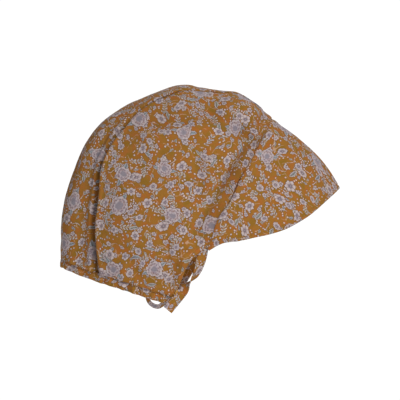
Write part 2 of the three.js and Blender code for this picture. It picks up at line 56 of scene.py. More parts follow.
# The crown's outline seen from the side, from the nape over the top to the forehead and down the open
# face: forward and up from the ear as shares of the crown's length and rise, how long the side stays
# wide, how sharply it closes, the centre panel's half width as a share, and how far it sags.
OUTLINE = np.array([
    (-0.495, 0.0, 1.8, 0.78, 0.57, 0),
    (-0.49, 0.119, 1.8, 0.74, 0.58, 0),
    (-0.467, 0.285, 1.8, 0.68, 0.59, 0),
    (-0.429, 0.444, 1.9, 0.62, 0.58, 0),
    (-0.376, 0.623, 2.0, 0.56, 0.56, 0),
    (-0.3, 0.752, 2.0, 0.52, 0.53, 0),
    (-0.21, 0.841, 2.2, 0.51, 0.49, 0),
    (-0.105, 0.917, 2.8, 0.5, 0.44, 0.1),
    (-0.01, 0.97, 3.1, 0.5, 0.42, 0.1),
    (0.09, 1.0, 4.0, 0.5, 0.4, 0),
    (0.167, 0.984, 4.8, 0.5, 0.39, 0.1),
    (0.262, 0.968, 5.4, 0.5, 0.38, 0.2),
    (0.352, 0.953, 5.6, 0.5, 0.37, 0.2),
    (0.43, 0.886, 5.6, 0.5, 0.36, 0.2),
    (0.474, 0.826, 5.4, 0.5, 0.35, 0.1),
    (0.512, 0.772, 5.0, 0.5, 0.34, 0),
    (0.502, 0.629, 4.0, 0.5, 0.34, 0),
    (0.494, 0.497, 3.4, 0.5, 0.34, 0),
    (0.5, 0.351, 3.1, 0.5, 0.34, 0),
    (0.506, 0.179, 3.0, 0.5, 0.34, 0),
    (0.505, 0.0, 3.0, 0.5, 0.34, 0),
])
FOREHEAD = OUTLINE[15]
NAPE = OUTLINE[0]
FACE = OUTLINE[-1]
NARROWING = (0.0, 0.14, 0.38, 0.68, 1.0)  # of the neck, from the ear line down

# Lines of the side view from the ear: forward, and up as a share of the crown's rise, or of the
# neck's drop where it is below the ear line.
NECK_HEM = np.array([(-0.495, -0.47), (-0.42, -0.578), (-0.324, -0.675), (-0.2, -0.792), (-0.085, -0.905), (0.02, -1.0)])
FRONT_EDGE = np.array([
    (0.02, -1.0), (0.052, -0.8), (0.08, -0.62), (0.104, -0.45), (0.138, -0.31),
    (0.195, -0.16), (0.247, 0.09), (0.31, 0.222), (0.388, 0.412), (0.458, 0.585),
])

# The peak's free edge from the tip to the ear: forward, drop and out as shares.
PEAK_EDGE = np.array([
    (1.0, 0.0, 0.0), (0.972, 0.058, 0.22), (0.918, 0.165, 0.41), (0.866, 0.27, 0.55), (0.813, 0.374, 0.65),
    (0.754, 0.478, 0.74), (0.679, 0.583, 0.82), (0.59, 0.687, 0.89), (0.478, 0.774, 0.95),
    (0.358, 0.835, 0.985), (0.239, 0.896, 1.0), (0.119, 0.936, 0.99), (0.02, 1.06, 0.965),
])

# Folds of the side panels: two points of the side view, half width as a share of the crown's length,
# and height as a share of the fold depth.
FOLDS = (
    ((-0.05, 0.745), (0.22, 0.8), 0.045, -0.55),
    ((-0.07, 0.625), (0.2, 0.735), 0.04, 0.5),
    ((0.22, 0.785), (0.4, 0.66), 0.035, -0.75),
    ((0.4, 0.66), (0.475, 0.755), 0.03, -0.6),
    ((0.35, 0.82), (0.42, 0.78), 0.06, 0.7),
    ((0.44, 0.6), (0.34, 0.38), 0.045, -0.7),
    ((0.34, 0.38), (0.2, 0.02), 0.04, -0.6),
    ((0.165, 0.47), (0.175, 0.25), 0.028, -0.3),
    ((-0.02, 0.14), (-0.015, 0.02), 0.03, -0.25),
    ((0.012, -0.15), (0.02, -0.42), 0.025, -0.35),
    ((0.09, -0.36), (0.05, -0.74), 0.028, 0.4),
)

# Smaller folds that only the dressed cloth has, in the same terms, with heights in millimetres.
CREASES = (
    ((0.4, 0.57), (0.3, 0.3), 0.034, -3.0),
    ((0.3, 0.3), (0.17, 0.03), 0.03, -2.6),
    ((0.3, 0.78), (0.37, 0.68), 0.03, -2.2),
    ((0.37, 0.68), (0.44, 0.74), 0.026, -2.0),
    ((0.3, 0.86), (0.4, 0.83), 0.045, 1.6),
    ((-0.09, 0.72), (0.2, 0.74), 0.02, -1.2),
    ((-0.37, 0.47), (-0.3, 0.46), 0.016, -1.4),
    ((-0.3, 0.42), (-0.1, 0.36), 0.02, 0.7),
    ((0.17, 0.5), (0.165, 0.28), 0.018, -1.1),
    ((0.0, 0.2), (0.1, 0.06), 0.04, 0.9),
    ((0.015, -0.13), (0.02, -0.42), 0.014, -1.1),
    ((0.095, -0.4), (0.06, -0.8), 0.017, 2.6),
    ((0.06, -0.3), (0.03, -0.68), 0.016, -1.6),
    ((0.0, -0.78), (0.06, -0.86), 0.018, 1.0),
    ((-0.26, -0.3), (-0.18, -0.6), 0.025, 0.9),
    ((-0.16, -0.35), (-0.1, -0.7), 0.02, -0.9),
    ((-0.33, 0.12), (-0.3, -0.25), 0.024, 0.9),
    ((0.25, 0.17), (0.18, -0.12), 0.034, -2.2),
)

# The ties from where they are sewn on: forward, up, share of the way out to the sewn end, and turn.
RIGHT_TIE = np.array([
    (0.05, 0.16, 1.0, 0), (0.035, 0.0, 1.0, 0), (0.008, -0.13, 0.995, 8), (-0.03, -0.27, 0.99, 33),
    (-0.08, -0.38, 0.985, 54), (-0.137, -0.465, 0.98, 75), (-0.188, -0.52, 0.98, 100),
    (-0.235, -0.575, 0.98, 132), (-0.287, -0.66, 0.98, 160), (-0.365, -0.755, 0.98, 176),
    (-0.45, -0.86, 0.98, 180), (-0.545, -0.975, 0.98, 180),
])
LEFT_TIE = np.array([
    (0.03, 0.13, 1.0, 0), (0.015, 0.0, 0.99, 0), (-0.025, -0.13, 0.975, 8), (-0.115, -0.25, 0.95, 18),
    (-0.205, -0.37, 0.9, 26), (-0.28, -0.49, 0.84, 30), (-0.36, -0.61, 0.77, 38), (-0.455, -0.73, 0.75, 62),
    (-0.545, -0.84, 0.73, 92), (-0.635, -0.92, 0.71, 110), (-0.74, -0.965, 0.69, 113), (-0.85, -0.91, 0.67, 112),
    (-0.905, -0.8, 0.66, 108), (-0.925, -0.66, 0.66, 102), (-0.915, -0.52, 0.66, 98),
])


class Side(Enum):
    """A side of the wearer, by the sign of its Y."""

    RIGHT = -1
    LEFT = 1


@dataclass(frozen=True)
class Curve:
    """A smooth line through values, sloped at each by its neighbours."""

    at: Array
    value: Array
    slope: Array

    @classmethod
    def through(cls, value: Any, at: Any = None) -> "Curve":
        """Lays the line.

        Args:
            value: the values, along the first axis.
            at: where each stands, rising, or None for even steps from 0 to 1.

        Returns:
            The line.
        """
        value = np.asarray(value, float)
        at = np.linspace(0, 1, len(value)) if at is None else np.asarray(at, float)
        low = np.maximum(np.arange(len(at)) - 1, 0)
        high = np.minimum(np.arange(len(at)) + 1, len(at) - 1)
        run = (at[high] - at[low]).reshape((-1,) + (1,) * (value.ndim - 1))
        return cls(at, value, (value[high] - value[low]) / run)

    def __call__(self, where: Any) -> Array:
        """Reads the line.

        Args:
            where: places along it.

        Returns:
            The values there.
        """
        t = np.clip(where, self.at[0], self.at[-1])
        i = np.clip(np.searchsorted(self.at, t) - 1, 0, len(self.at) - 2)
        span = self.at[i + 1] - self.at[i]
        s = (t - self.at[i]) / span
        trailing = s.shape + (1,) * (self.value.ndim - 1)
        s, span = np.reshape(s, trailing), np.reshape(span, trailing)
        rest = 1 - s
        return (
            self.value[i] * (1 + 2 * s) * rest * rest
            + self.value[i + 1] * s * s * (3 - 2 * s)
            + span * s * rest * (self.slope[i] * rest - self.slope[i + 1] * s)
        )


def unit(v: Array) -> Array:
    """Vectors at length 1."""
    return v / np.maximum(np.linalg.norm(v, axis=-1, keepdims=True), 1e-12)


def crowded(count: int, share: float = 0.8) -> Array:
    """Steps from 0 to 1 that crowd towards both ends.

    Args:
        count: how many steps.
        share: how strongly they crowd.

    Returns:
        The places.
    """
    w = np.linspace(-1, 1, count + 1)
    return (1 + (1 - share) * w + share * np.sin(w * np.pi / 2)) / 2


@dataclass
class BonnetForm:
    """The bonnet's outer form and its lines, in millimetres."""

    crown_length: float = 210.0
    crown_rise: float = 151.0
    crown_width: float = 142.0
    neck_drop: float = 68.0
    neck_width: float = 120.0
    peak_reach: float = 67.8
    peak_fall: float = 69.2
    peak_thickness: float = 2.4
    peak_camber: float = 6.4
    casing_width: float = 9.0
    casing_thickness: float = 2.8
    casing_proud: float = 0.15
    tie_fall: float = 60.0
    tie_width: float = 10.0
    tie_thickness: float = 1.2
    cloth: float = 1.6
    gap: float = 0.3
    tucked: float = 0.7
    fold_depth: float = 5.0
    gather_depth: float = 0.8
    gathers: int = 10
    top_forward: float = 0.09
    centre_arch: float = 2.2
    centre_hem: float = 0.3
    crown_share: float = 0.8
    seam_turn: float = 0.52
    front_start: float = 1 / 13
    centre_around: float = 0.165
    peak_end: float = 0.5

    def __post_init__(self) -> None:
        """Lays the smooth lines through the tables."""
        self.ear = (-self.top_forward * self.crown_length, self.cloth - self.crown_rise)
        self.half = self.crown_width / 2
        self.panel_end = self.casing_width - self.tucked
        rows = OUTLINE[::-1]
        angle = np.arctan2(rows[:, 1], rows[:, 0])
        self.radius = Curve.through(np.hypot(rows[:, 0], rows[:, 1]), angle)
        self.fullness, self.pinch, self.panel, self.sag = (Curve.through(rows[:, c], angle) for c in (2, 3, 4, 5))
        self.narrowing = Curve.through(NARROWING)
        self.forehead = math.atan2(FOREHEAD[1], FOREHEAD[0])
        self.hem_line = self.side_line(NECK_HEM)
        corner = self.crown_centre(np.array(self.forehead), np.array(1.0), self.gap)
        top = ((corner[0] - self.ear[0]) / self.crown_length, (corner[2] - self.ear[1]) / self.crown_rise)
        self.front_line = self.side_line(np.vstack([FRONT_EDGE, top]))

    def place(self, forward: Any, up: Any) -> tuple[Array, Array]:
        """A point of the side view from its shares.

        Args:
            forward: share of the crown's length ahead of the ear.
            up: share of the crown's rise above it, or of the neck's drop below it.

        Returns:
            x and z in millimetres.
        """
        forward, up = np.asarray(forward, float), np.asarray(up, float)
        return (
            self.ear[0] + forward * self.crown_length,
            self.ear[1] + up * np.where(up > 0, self.crown_rise, self.neck_drop),
        )

    def side_line(self, rows: Array) -> Callable[..., tuple[Array, Array]]:
        """A line of the side view.

        Args:
            rows: its points as shares.

        Returns:
            A function from a share along the line, and millimetres to its left, to x and z.
        """
        track = Curve.through(rows)

        def at(share: Array) -> tuple[Array, Array]:
            """The line itself."""
            both = track(share)
            return self.place(both[..., 0], both[..., 1])

        def line(share: Any, aside: Any = 0.0) -> tuple[Array, Array]:
            """The line, moved aside."""
            share = np.asarray(share, float)
            ax, az = at(np.maximum(share - 0.02, 0))
            bx, bz = at(np.minimum(share + 0.02, 1))
            x, z = at(share)
            run = np.hypot(bx - ax, bz - az)
            return x - aside * (bz - az) / run, z + aside * (bx - ax) / run

        return line

    def neck_half(self, down: Array) -> Array:
        """The neck's half width at a share of its drop."""
        return self.half + (self.neck_width / 2 - self.half) * self.narrowing(down)

    def closing(self, x: Array, z: Array) -> tuple[Array, Array, Array, Array]:
        """How the form closes at a point of the side view.

        Args:
            x: millimetres forward.
            z: millimetres up.

        Returns:
            The half width at the middle, how far out the point lies, and the two exponents.
        """
        forward = (x - self.ear[0]) / self.crown_length
        up = np.maximum(z - self.ear[1], 0) / self.crown_rise
        angle = np.arctan2(up, forward)
        down = np.maximum(self.ear[1] - z, 0) / self.neck_drop
        above, ahead = z >= self.ear[1], forward > 0
        beside = np.where(ahead, forward / FACE[0], forward / NAPE[0])
        return (
            np.where(above, self.half, self.neck_half(down)),
            np.where(above, np.hypot(forward, up) / self.radius(angle), beside),
            np.where(above, self.fullness(angle), np.where(ahead, FACE[2], NAPE[2])),
            np.where(above, self.pinch(angle), np.where(ahead, FACE[3], NAPE[3])),
        )

    def half_width(self, x: Array, z: Array) -> Array:
        """The form's half width at a point of the side view."""
        half, out, fullness, pinch = self.closing(x, z)
        return half * np.maximum(0, 1 - out**fullness) ** pinch

    def outward(self, points: Array) -> Array:
        """The form's outward normals at points on it."""

        def level(p: Array) -> Array:
            """Rises outwards through 1 on the form."""
            half, out, fullness, pinch = self.closing(p[..., 0], p[..., 2])
            return (np.abs(p[..., 1]) / half) ** (1 / pinch) + out**fullness

        steps = 0.05 * np.eye(3)
        return unit(np.stack([level(points + s) - level(points - s) for s in steps], -1))

    def fold_height(self, x: Array, z: Array) -> Array:
        """How high the folds of the side panels stand at a point of the side view."""
        height = np.zeros(np.broadcast(x, z).shape)
        for start, end, reach, rise in FOLDS:
            (ax, az), (bx, bz) = self.place(*start), self.place(*end)
            run = np.array([bx - ax, bz - az])
            near = np.clip(((x - ax) * run[0] + (z - az) * run[1]) / (run @ run), 0, 1)
            away = np.hypot(x - ax - near * run[0], z - az - near * run[1])
            height = height + rise * self.fold_depth * np.exp(-((away / (reach * self.crown_length)) ** 2))
        return height

    def seam_height(self, points: Array, away: Array) -> Array:
        """How the cloth dips to the centre panel's seams and swells beside them.

        Args:
            points: points of the cloth.
            away: millimetres from the seam.

        Returns:
            Millimetres outwards: slight over the top, and a deep valley down the back.
        """
        angle = np.degrees(np.arctan2(points[..., 2] - self.ear[1], points[..., 0] - self.ear[0]))
        angle = np.where(angle < -90, angle + 360, angle)
        back = 1 / (1 + np.exp(-(angle - 108) / 8))
        low = 1 / (1 + np.exp((angle - 203) / 5))
        depth, reach = 1.0 + 3.8 * back * low, 0.8 + 2.0 * back
        swell = 0.25 + 1.25 * back
        return swell * np.exp(-(((away - 2.4 - 1.2 * reach) / (2.0 + 0.7 * back)) ** 2)) - depth * np.exp(-((away / reach) ** 2))

    def painted_seam_shade(self, points: Array, away: Array) -> Array:
        """How strongly painted shade darkens the cloth by the centre panel's seams, 0 to 1, wider down the back."""
        angle = np.degrees(np.arctan2(points[..., 2] - self.ear[1], points[..., 0] - self.ear[0]))
        back = 1 / (1 + np.exp(-(np.where(angle < -90, angle + 360, angle) - 110) / 9))
        return 0.75 * np.exp(-((away / 0.7) ** 2)) + (0.1 + 0.4 * back) * np.exp(-((away / (1.5 + 3.2 * back)) ** 2))

    def side_point(self, x: Array, z: Array) -> tuple[Array, Array]:
        """A point of the right side and its normal.

        Args:
            x: millimetres forward.
            z: millimetres up.

        Returns:
            The points and the normals.
        """
        points = np.stack([x, -self.half_width(x, z), z], -1)
        normals = self.outward(points)
        return points + normals * self.fold_height(x, z)[..., None], normals

    def arched(self, half: Array, panel: Array, pinch: Array, fullness: Array, across: Array, trim: float) -> tuple[Array, Array]:
        """Where the centre panel lies across.

        Args:
            half: the form's half width.
            panel: the centre panel's, as a share.
            pinch: how sharply the form closes.
            fullness: how long it stays wide.
            across: 0 at the panel's middle and 1 at its seam.
            trim: millimetres past the seam.

        Returns:
            y, and how far out the point lies.
        """
        y = panel * self.half + trim
        seam = (1 - (y / half) ** (1 / pinch)) ** (1 / fullness)
        return across * y, 1 - (1 - seam) * np.abs(across) ** self.centre_arch

    def crown_centre(self, angle: Array, across: Array, trim: float = 0.0) -> Array:
        """The centre panel above the ear line.

        Args:
            angle: in the side view, from straight ahead.
            across: -1 at the right seam and 1 at the left one.
            trim: millimetres past the seam.

        Returns:
            The points.
        """
        y, out = self.arched(self.half, self.panel(angle), self.pinch(angle), self.fullness(angle), across, trim)
        sag = self.sag(angle) * self.fold_depth * (1 - across * across) / self.crown_rise
        radius = self.radius(angle) * out - sag
        x, z = self.place(np.cos(angle) * radius, np.sin(angle) * radius)
        return np.stack(np.broadcast_arrays(x, y, z), -1)

    def neck_centre(self, z: Array, across: Array, trim: float = 0.0) -> Array:
        """The centre panel below the ear line, by its height."""
        half = self.neck_half((self.ear[1] - z) / self.neck_drop)
        y, out = self.arched(half, NAPE[4], NAPE[3], NAPE[2], across, trim)
        return np.stack(np.broadcast_arrays(self.ear[0] + NAPE[0] * self.crown_length * out, y, z), -1)

    def seam_meets_hem(self, rise: float) -> float:
        """The share of the hem line where the centre panel's seam comes down to it."""
        low, high = 0.0, 1.0
        for _ in range(40):
            share = (low + high) / 2
            x, z = self.hem_line(share, rise)
            if x < self.neck_centre(z, np.array(1.0))[..., 0]:
                low = share
            else:
                high = share
        return low

    def hem_point(self, around: Array, rise: float) -> Array:
        """Points some way above the hem on the right of the wearer.

        Args:
            around: 0 at the nape and 1 at the front corner.
            rise: millimetres above the hem.

        Returns:
            The points.
        """
        seam = self.seam_meets_hem(rise)
        across = np.minimum(around / self.centre_hem, 1)
        _, z = self.hem_line(seam * across**self.centre_arch, rise)
        back = self.neck_centre(z, -across)
        share = seam + np.maximum(around - self.centre_hem, 0) / (1 - self.centre_hem) * (1 - seam)
        x, z = self.hem_line(share, rise)
        beside = np.stack([x, -self.half_width(x, z), z], -1)
        return np.where((around <= self.centre_hem)[..., None], back, beside)

    def centre_point(self, along: Array, across: Array, trim: float = 0.0) -> Array:
        """Points of the centre panel.

        Args:
            along: 0 at the forehead and 1 at the casing.
            across: -1 at the right seam and 1 at the left one.
            trim: millimetres past the seam.

        Returns:
            The points.
        """
        angle = self.forehead + np.minimum(along / self.crown_share, 1) * (np.pi - self.forehead)
        above = self.crown_centre(angle, across, trim)
        meets = self.seam_meets_hem(self.panel_end)
        _, lowest = self.hem_line(np.abs(across) ** self.centre_arch * meets, self.panel_end)
        down = np.maximum(along - self.crown_share, 0) / (1 - self.crown_share)
        below = self.neck_centre(self.ear[1] + down * (lowest - self.ear[1]), across, trim)
        return np.where((along <= self.crown_share)[..., None], above, below)

    def seam_share(self, t: Array) -> Array:
        """How far along the centre panel a row stands, turned at the crown's back."""
        return np.where(t < 0.5, 2 * t * self.seam_turn, self.seam_turn + (2 * t - 1) * (1 - self.seam_turn))

    def gather_height(self, around: Array, rise: Array) -> Array:
        """The even waves above the elastic."""
        fade = np.exp(-np.maximum(rise - self.casing_width, 0) / (2.5 * self.casing_width))
        return self.gather_depth * fade * np.sin(2 * np.pi * self.gathers * around)

    def crown_edge(self, around: Array) -> tuple[Array, Array]:
        """The crown's front edge, 0 at the forehead and 1 where the peak ends, and its normals."""
        ahead = np.maximum(around - self.centre_around, 0) / (1 - self.centre_around)
        side, side_normal = self.side_point(*self.front_line(1 - ahead * (1 - self.peak_end)))
        across = np.minimum(around / self.centre_around, 1)
        middle = self.crown_centre(np.full_like(around, self.forehead), -across)
        normal = self.outward(middle)
        middle = middle + normal * (self.fold_height(middle[..., 0], middle[..., 2]) * across**3)[..., None]
        beside = (around > self.centre_around)[..., None]
        return np.where(beside, side, middle), np.where(beside, side_normal, normal)


@dataclass
class Rumple:
    """Seeded smooth unevenness over flat cloth, from -1 to 1."""

    seed: int
    size: int = 97

    def __post_init__(self) -> None:
        """Draws the lattice."""
        self.lattice = np.random.default_rng(self.seed).uniform(-1, 1, (self.size, self.size))

    def __call__(self, u: Array, v: Array, wave: float) -> Array:
        """Reads it.

        Args:
            u: millimetres one way.
            v: millimetres the other way.
            wave: millimetres from one swelling to the next.

        Returns:
            The heights.
        """
        x, y = np.broadcast_arrays(np.asarray(u, float) / wave, np.asarray(v, float) / wave)
        i, j = np.floor(x).astype(int), np.floor(y).astype(int)
        a, b = x - i, y - j
        a, b = a * a * a * (a * (6 * a - 15) + 10), b * b * b * (b * (6 * b - 15) + 10)
        low, high = self.lattice, self.size
        near = low[i % high, j % high] * (1 - a) + low[(i + 1) % high, j % high] * a
        far = low[i % high, (j + 1) % high] * (1 - a) + low[(i + 1) % high, (j + 1) % high] * a
        return near * (1 - b) + far * b

    def layers(self, u: Array, v: Array, wave: float, count: int = 3) -> Array:
        """Finer and finer unevenness, each layer half the last."""
        return sum(self(u + 17.3 * k, v - 9.1 * k, wave / 2**k) / 2**k for k in range(count))


@dataclass(frozen=True)
class Cut:
    """The flat cut of a piece, found by letting its curved cloth relax into a plane."""

    s: Array
    t: Array
    flat: Array

    @classmethod
    def relaxed(cls, surface: Callable[[Array, Array], Array], counts: tuple[int, int], start: Callable[[Array], Array] | None = None, rounds: int = 900, give: float = 1.0) -> "Cut":
        """Relaxes a surface into a plane.

        Args:
            surface: from two shares to points.
            counts: steps along each share.
            start: a first guess of the flat points, or None for the lengths along the grid.
            rounds: how long to relax.
            give: how hard stretched cloth pulls back; below 1 it stretches rather than folds over.

        Returns:
            The cut.
        """
        s, t = np.linspace(0, 1, counts[0] + 1), np.linspace(0, 1, counts[1] + 1)
        points = surface(*np.meshgrid(s, t, indexing="ij"))
        if start is None:
            i, j = counts[0] // 2, counts[1] // 2
            along = np.linalg.norm(np.diff(points[:, j], axis=0), axis=-1)
            across = np.linalg.norm(np.diff(points[i], axis=0), axis=-1)
            u = np.concatenate([[0], np.cumsum(along)])
            v = np.concatenate([[0], np.cumsum(across)])
            flat = np.stack(np.meshgrid(u - u[i], v - v[j], indexing="ij"), -1)
        else:
            flat = start(points)
        pairs = [
            ((slice(0, -1), slice(None)), (slice(1, None), slice(None))),
            ((slice(None), slice(0, -1)), (slice(None), slice(1, None))),
            ((slice(0, -1), slice(0, -1)), (slice(1, None), slice(1, None))),
            ((slice(0, -1), slice(1, None)), (slice(1, None), slice(0, -1))),
        ]
        rest = [np.linalg.norm(points[b] - points[a], axis=-1, keepdims=True) for a, b in pairs]
        speed = np.zeros_like(flat)
        for _ in range(rounds):
            pull = np.zeros_like(flat)
            for (a, b), length in zip(pairs, rest):
                away = flat[b] - flat[a]
                reach = np.maximum(np.linalg.norm(away, axis=-1, keepdims=True), 1e-9)
                push = 0.5 * away * (1 - length / reach) * np.where(reach > length, give, 1.0)
                pull[a] += push
                pull[b] -= push
            speed = 0.94 * speed + 0.2 * pull
            flat = flat + speed
        return cls(s, t, flat)

    def at(self, s: Array, t: Array) -> Array:
        """Flat points at the crossings of two lists of shares."""
        rows = Curve.through(self.flat, self.s)(s)
        return Curve.through(rows.swapaxes(0, 1), self.t)(t).swapaxes(0, 1)

    @property
    def size(self) -> tuple[float, float]:
        """The rectangle that the cut fits in, in metres."""
        low, high = self.flat.min((0, 1)), self.flat.max((0, 1))
        return float(high[0] - low[0]) * MM, float(high[1] - low[1]) * MM

    @property
    def area(self) -> float:
        """The cut's area in square metres."""
        a, b = self.flat[1:, 1:] - self.flat[:-1, :-1], self.flat[1:, :-1] - self.flat[:-1, 1:]
        return float(np.abs(a[..., 0] * b[..., 1] - a[..., 1] * b[..., 0]).sum()) / 2 * MM * MM


def distance_to(flat: Array, border: Array) -> tuple[Array, Array]:
    """How far flat points lie from a border.

    Args:
        flat: the points.
        border: points along the border.

    Returns:
        The distances, and how far along the border the nearest point is.
    """
    run = np.concatenate([[0], np.cumsum(np.linalg.norm(np.diff(border, axis=0), axis=-1))])
    away = np.full(flat.shape[:2], 1e9)
    along = np.zeros(flat.shape[:2])
    for a, b, start in zip(border[:-1], border[1:], run):
        step = b - a
        length = max(float(step @ step), 1e-12)
        near = np.clip(((flat - a) @ step) / length, 0, 1)
        gap = np.linalg.norm(flat - a - near[..., None] * step, axis=-1)
        nearer = gap < away
        away = np.where(nearer, gap, away)
        along = np.where(nearer, start + near * math.sqrt(length), along)
    return away, along


def inset(points: Array, distance: float) -> Array:
    """A line some way in from the first row of a grid, measured over the cloth.

    Args:
        points: the grid.
        distance: millimetres in.

    Returns:
        The line's points.
    """
    steps = np.linalg.norm(np.diff(points, axis=0), axis=-1)
    arc = np.concatenate([np.zeros((1, points.shape[1])), np.cumsum(steps, axis=0)])
    return np.stack([[np.interp(distance, arc[:, j], points[:, j, c]) for c in range(3)] for j in range(points.shape[1])])


def grid_normals(points: Array) -> Array:
    """Normals of a grid of points, first way crossed with second."""
    return unit(np.cross(np.gradient(points, axis=0), np.gradient(points, axis=1)))


def rounded(distance: Array, half: Array) -> Array:
    """Half the thickness of a piece that ends in a round edge."""
    return half * np.sqrt(np.maximum(1 - (1 - np.clip(distance / np.maximum(half, 1e-6), 0, 1)) ** 2, 0))


class Signal:
    """One socket of a finish, on which sums can be written."""

    def __init__(self, finish: "Finish", socket: bpy.types.NodeSocket) -> None:
        """Keeps the socket.

        Args:
            finish: the finish that it belongs to.
            socket: the output socket.
        """
        self.finish = finish
        self.socket = socket

    def other(self, name: str) -> "Signal":
        """Another output of the same node."""
        return Signal(self.finish, self.socket.node.outputs[name])

    def __add__(self, other: Any) -> "Signal":
        """Sum."""
        return self.finish.maths("ADD", self, other)

    __radd__ = __add__

    def __sub__(self, other: Any) -> "Signal":
        """Difference."""
        return self.finish.maths("SUBTRACT", self, other)

    def __rsub__(self, other: Any) -> "Signal":
        """Difference from a number."""
        return self.finish.maths("SUBTRACT", other, self)

    def __mul__(self, other: Any) -> "Signal":
        """Product."""
        return self.finish.maths("MULTIPLY", self, other)

    __rmul__ = __mul__

    def __truediv__(self, other: Any) -> "Signal":
        """Quotient."""
        return self.finish.maths("DIVIDE", self, other)

    def __pow__(self, other: Any) -> "Signal":
        """Power."""
        return self.finish.maths("POWER", self, other)

    def __abs__(self) -> "Signal":
        """Size without sign."""
        return self.finish.maths("ABSOLUTE", self)

    def __gt__(self, other: Any) -> "Signal":
        """1 where it is above."""
        return self.finish.maths("GREATER_THAN", self, other)

    def __lt__(self, other: Any) -> "Signal":
        """1 where it is below."""
        return self.finish.maths("LESS_THAN", self, other)

    def within(self) -> "Signal":
        """Held between 0 and 1."""
        return self.finish.maths("ADD", self, 0.0, clamp=True)

    def edge(self, soft: float) -> "Signal":
        """0 below zero and 1 above it, over a soft width."""
        return self.finish.maths("MULTIPLY_ADD", self, 1 / soft, 0.5, clamp=True)

    def wave(self) -> "Signal":
        """Cosine."""
        return self.finish.maths("COSINE", self)

    def fraction(self) -> "Signal":
        """What is past the whole number."""
        return self.finish.maths("FRACT", self)


@dataclass
class Spot:
    """One printed motif's own view of the cloth: where a point lies in it, and its chances."""

    x: Signal
    y: Signal
    distance: Signal
    angle: Signal
    home: Signal
    chances: tuple[Signal, Signal, Signal]


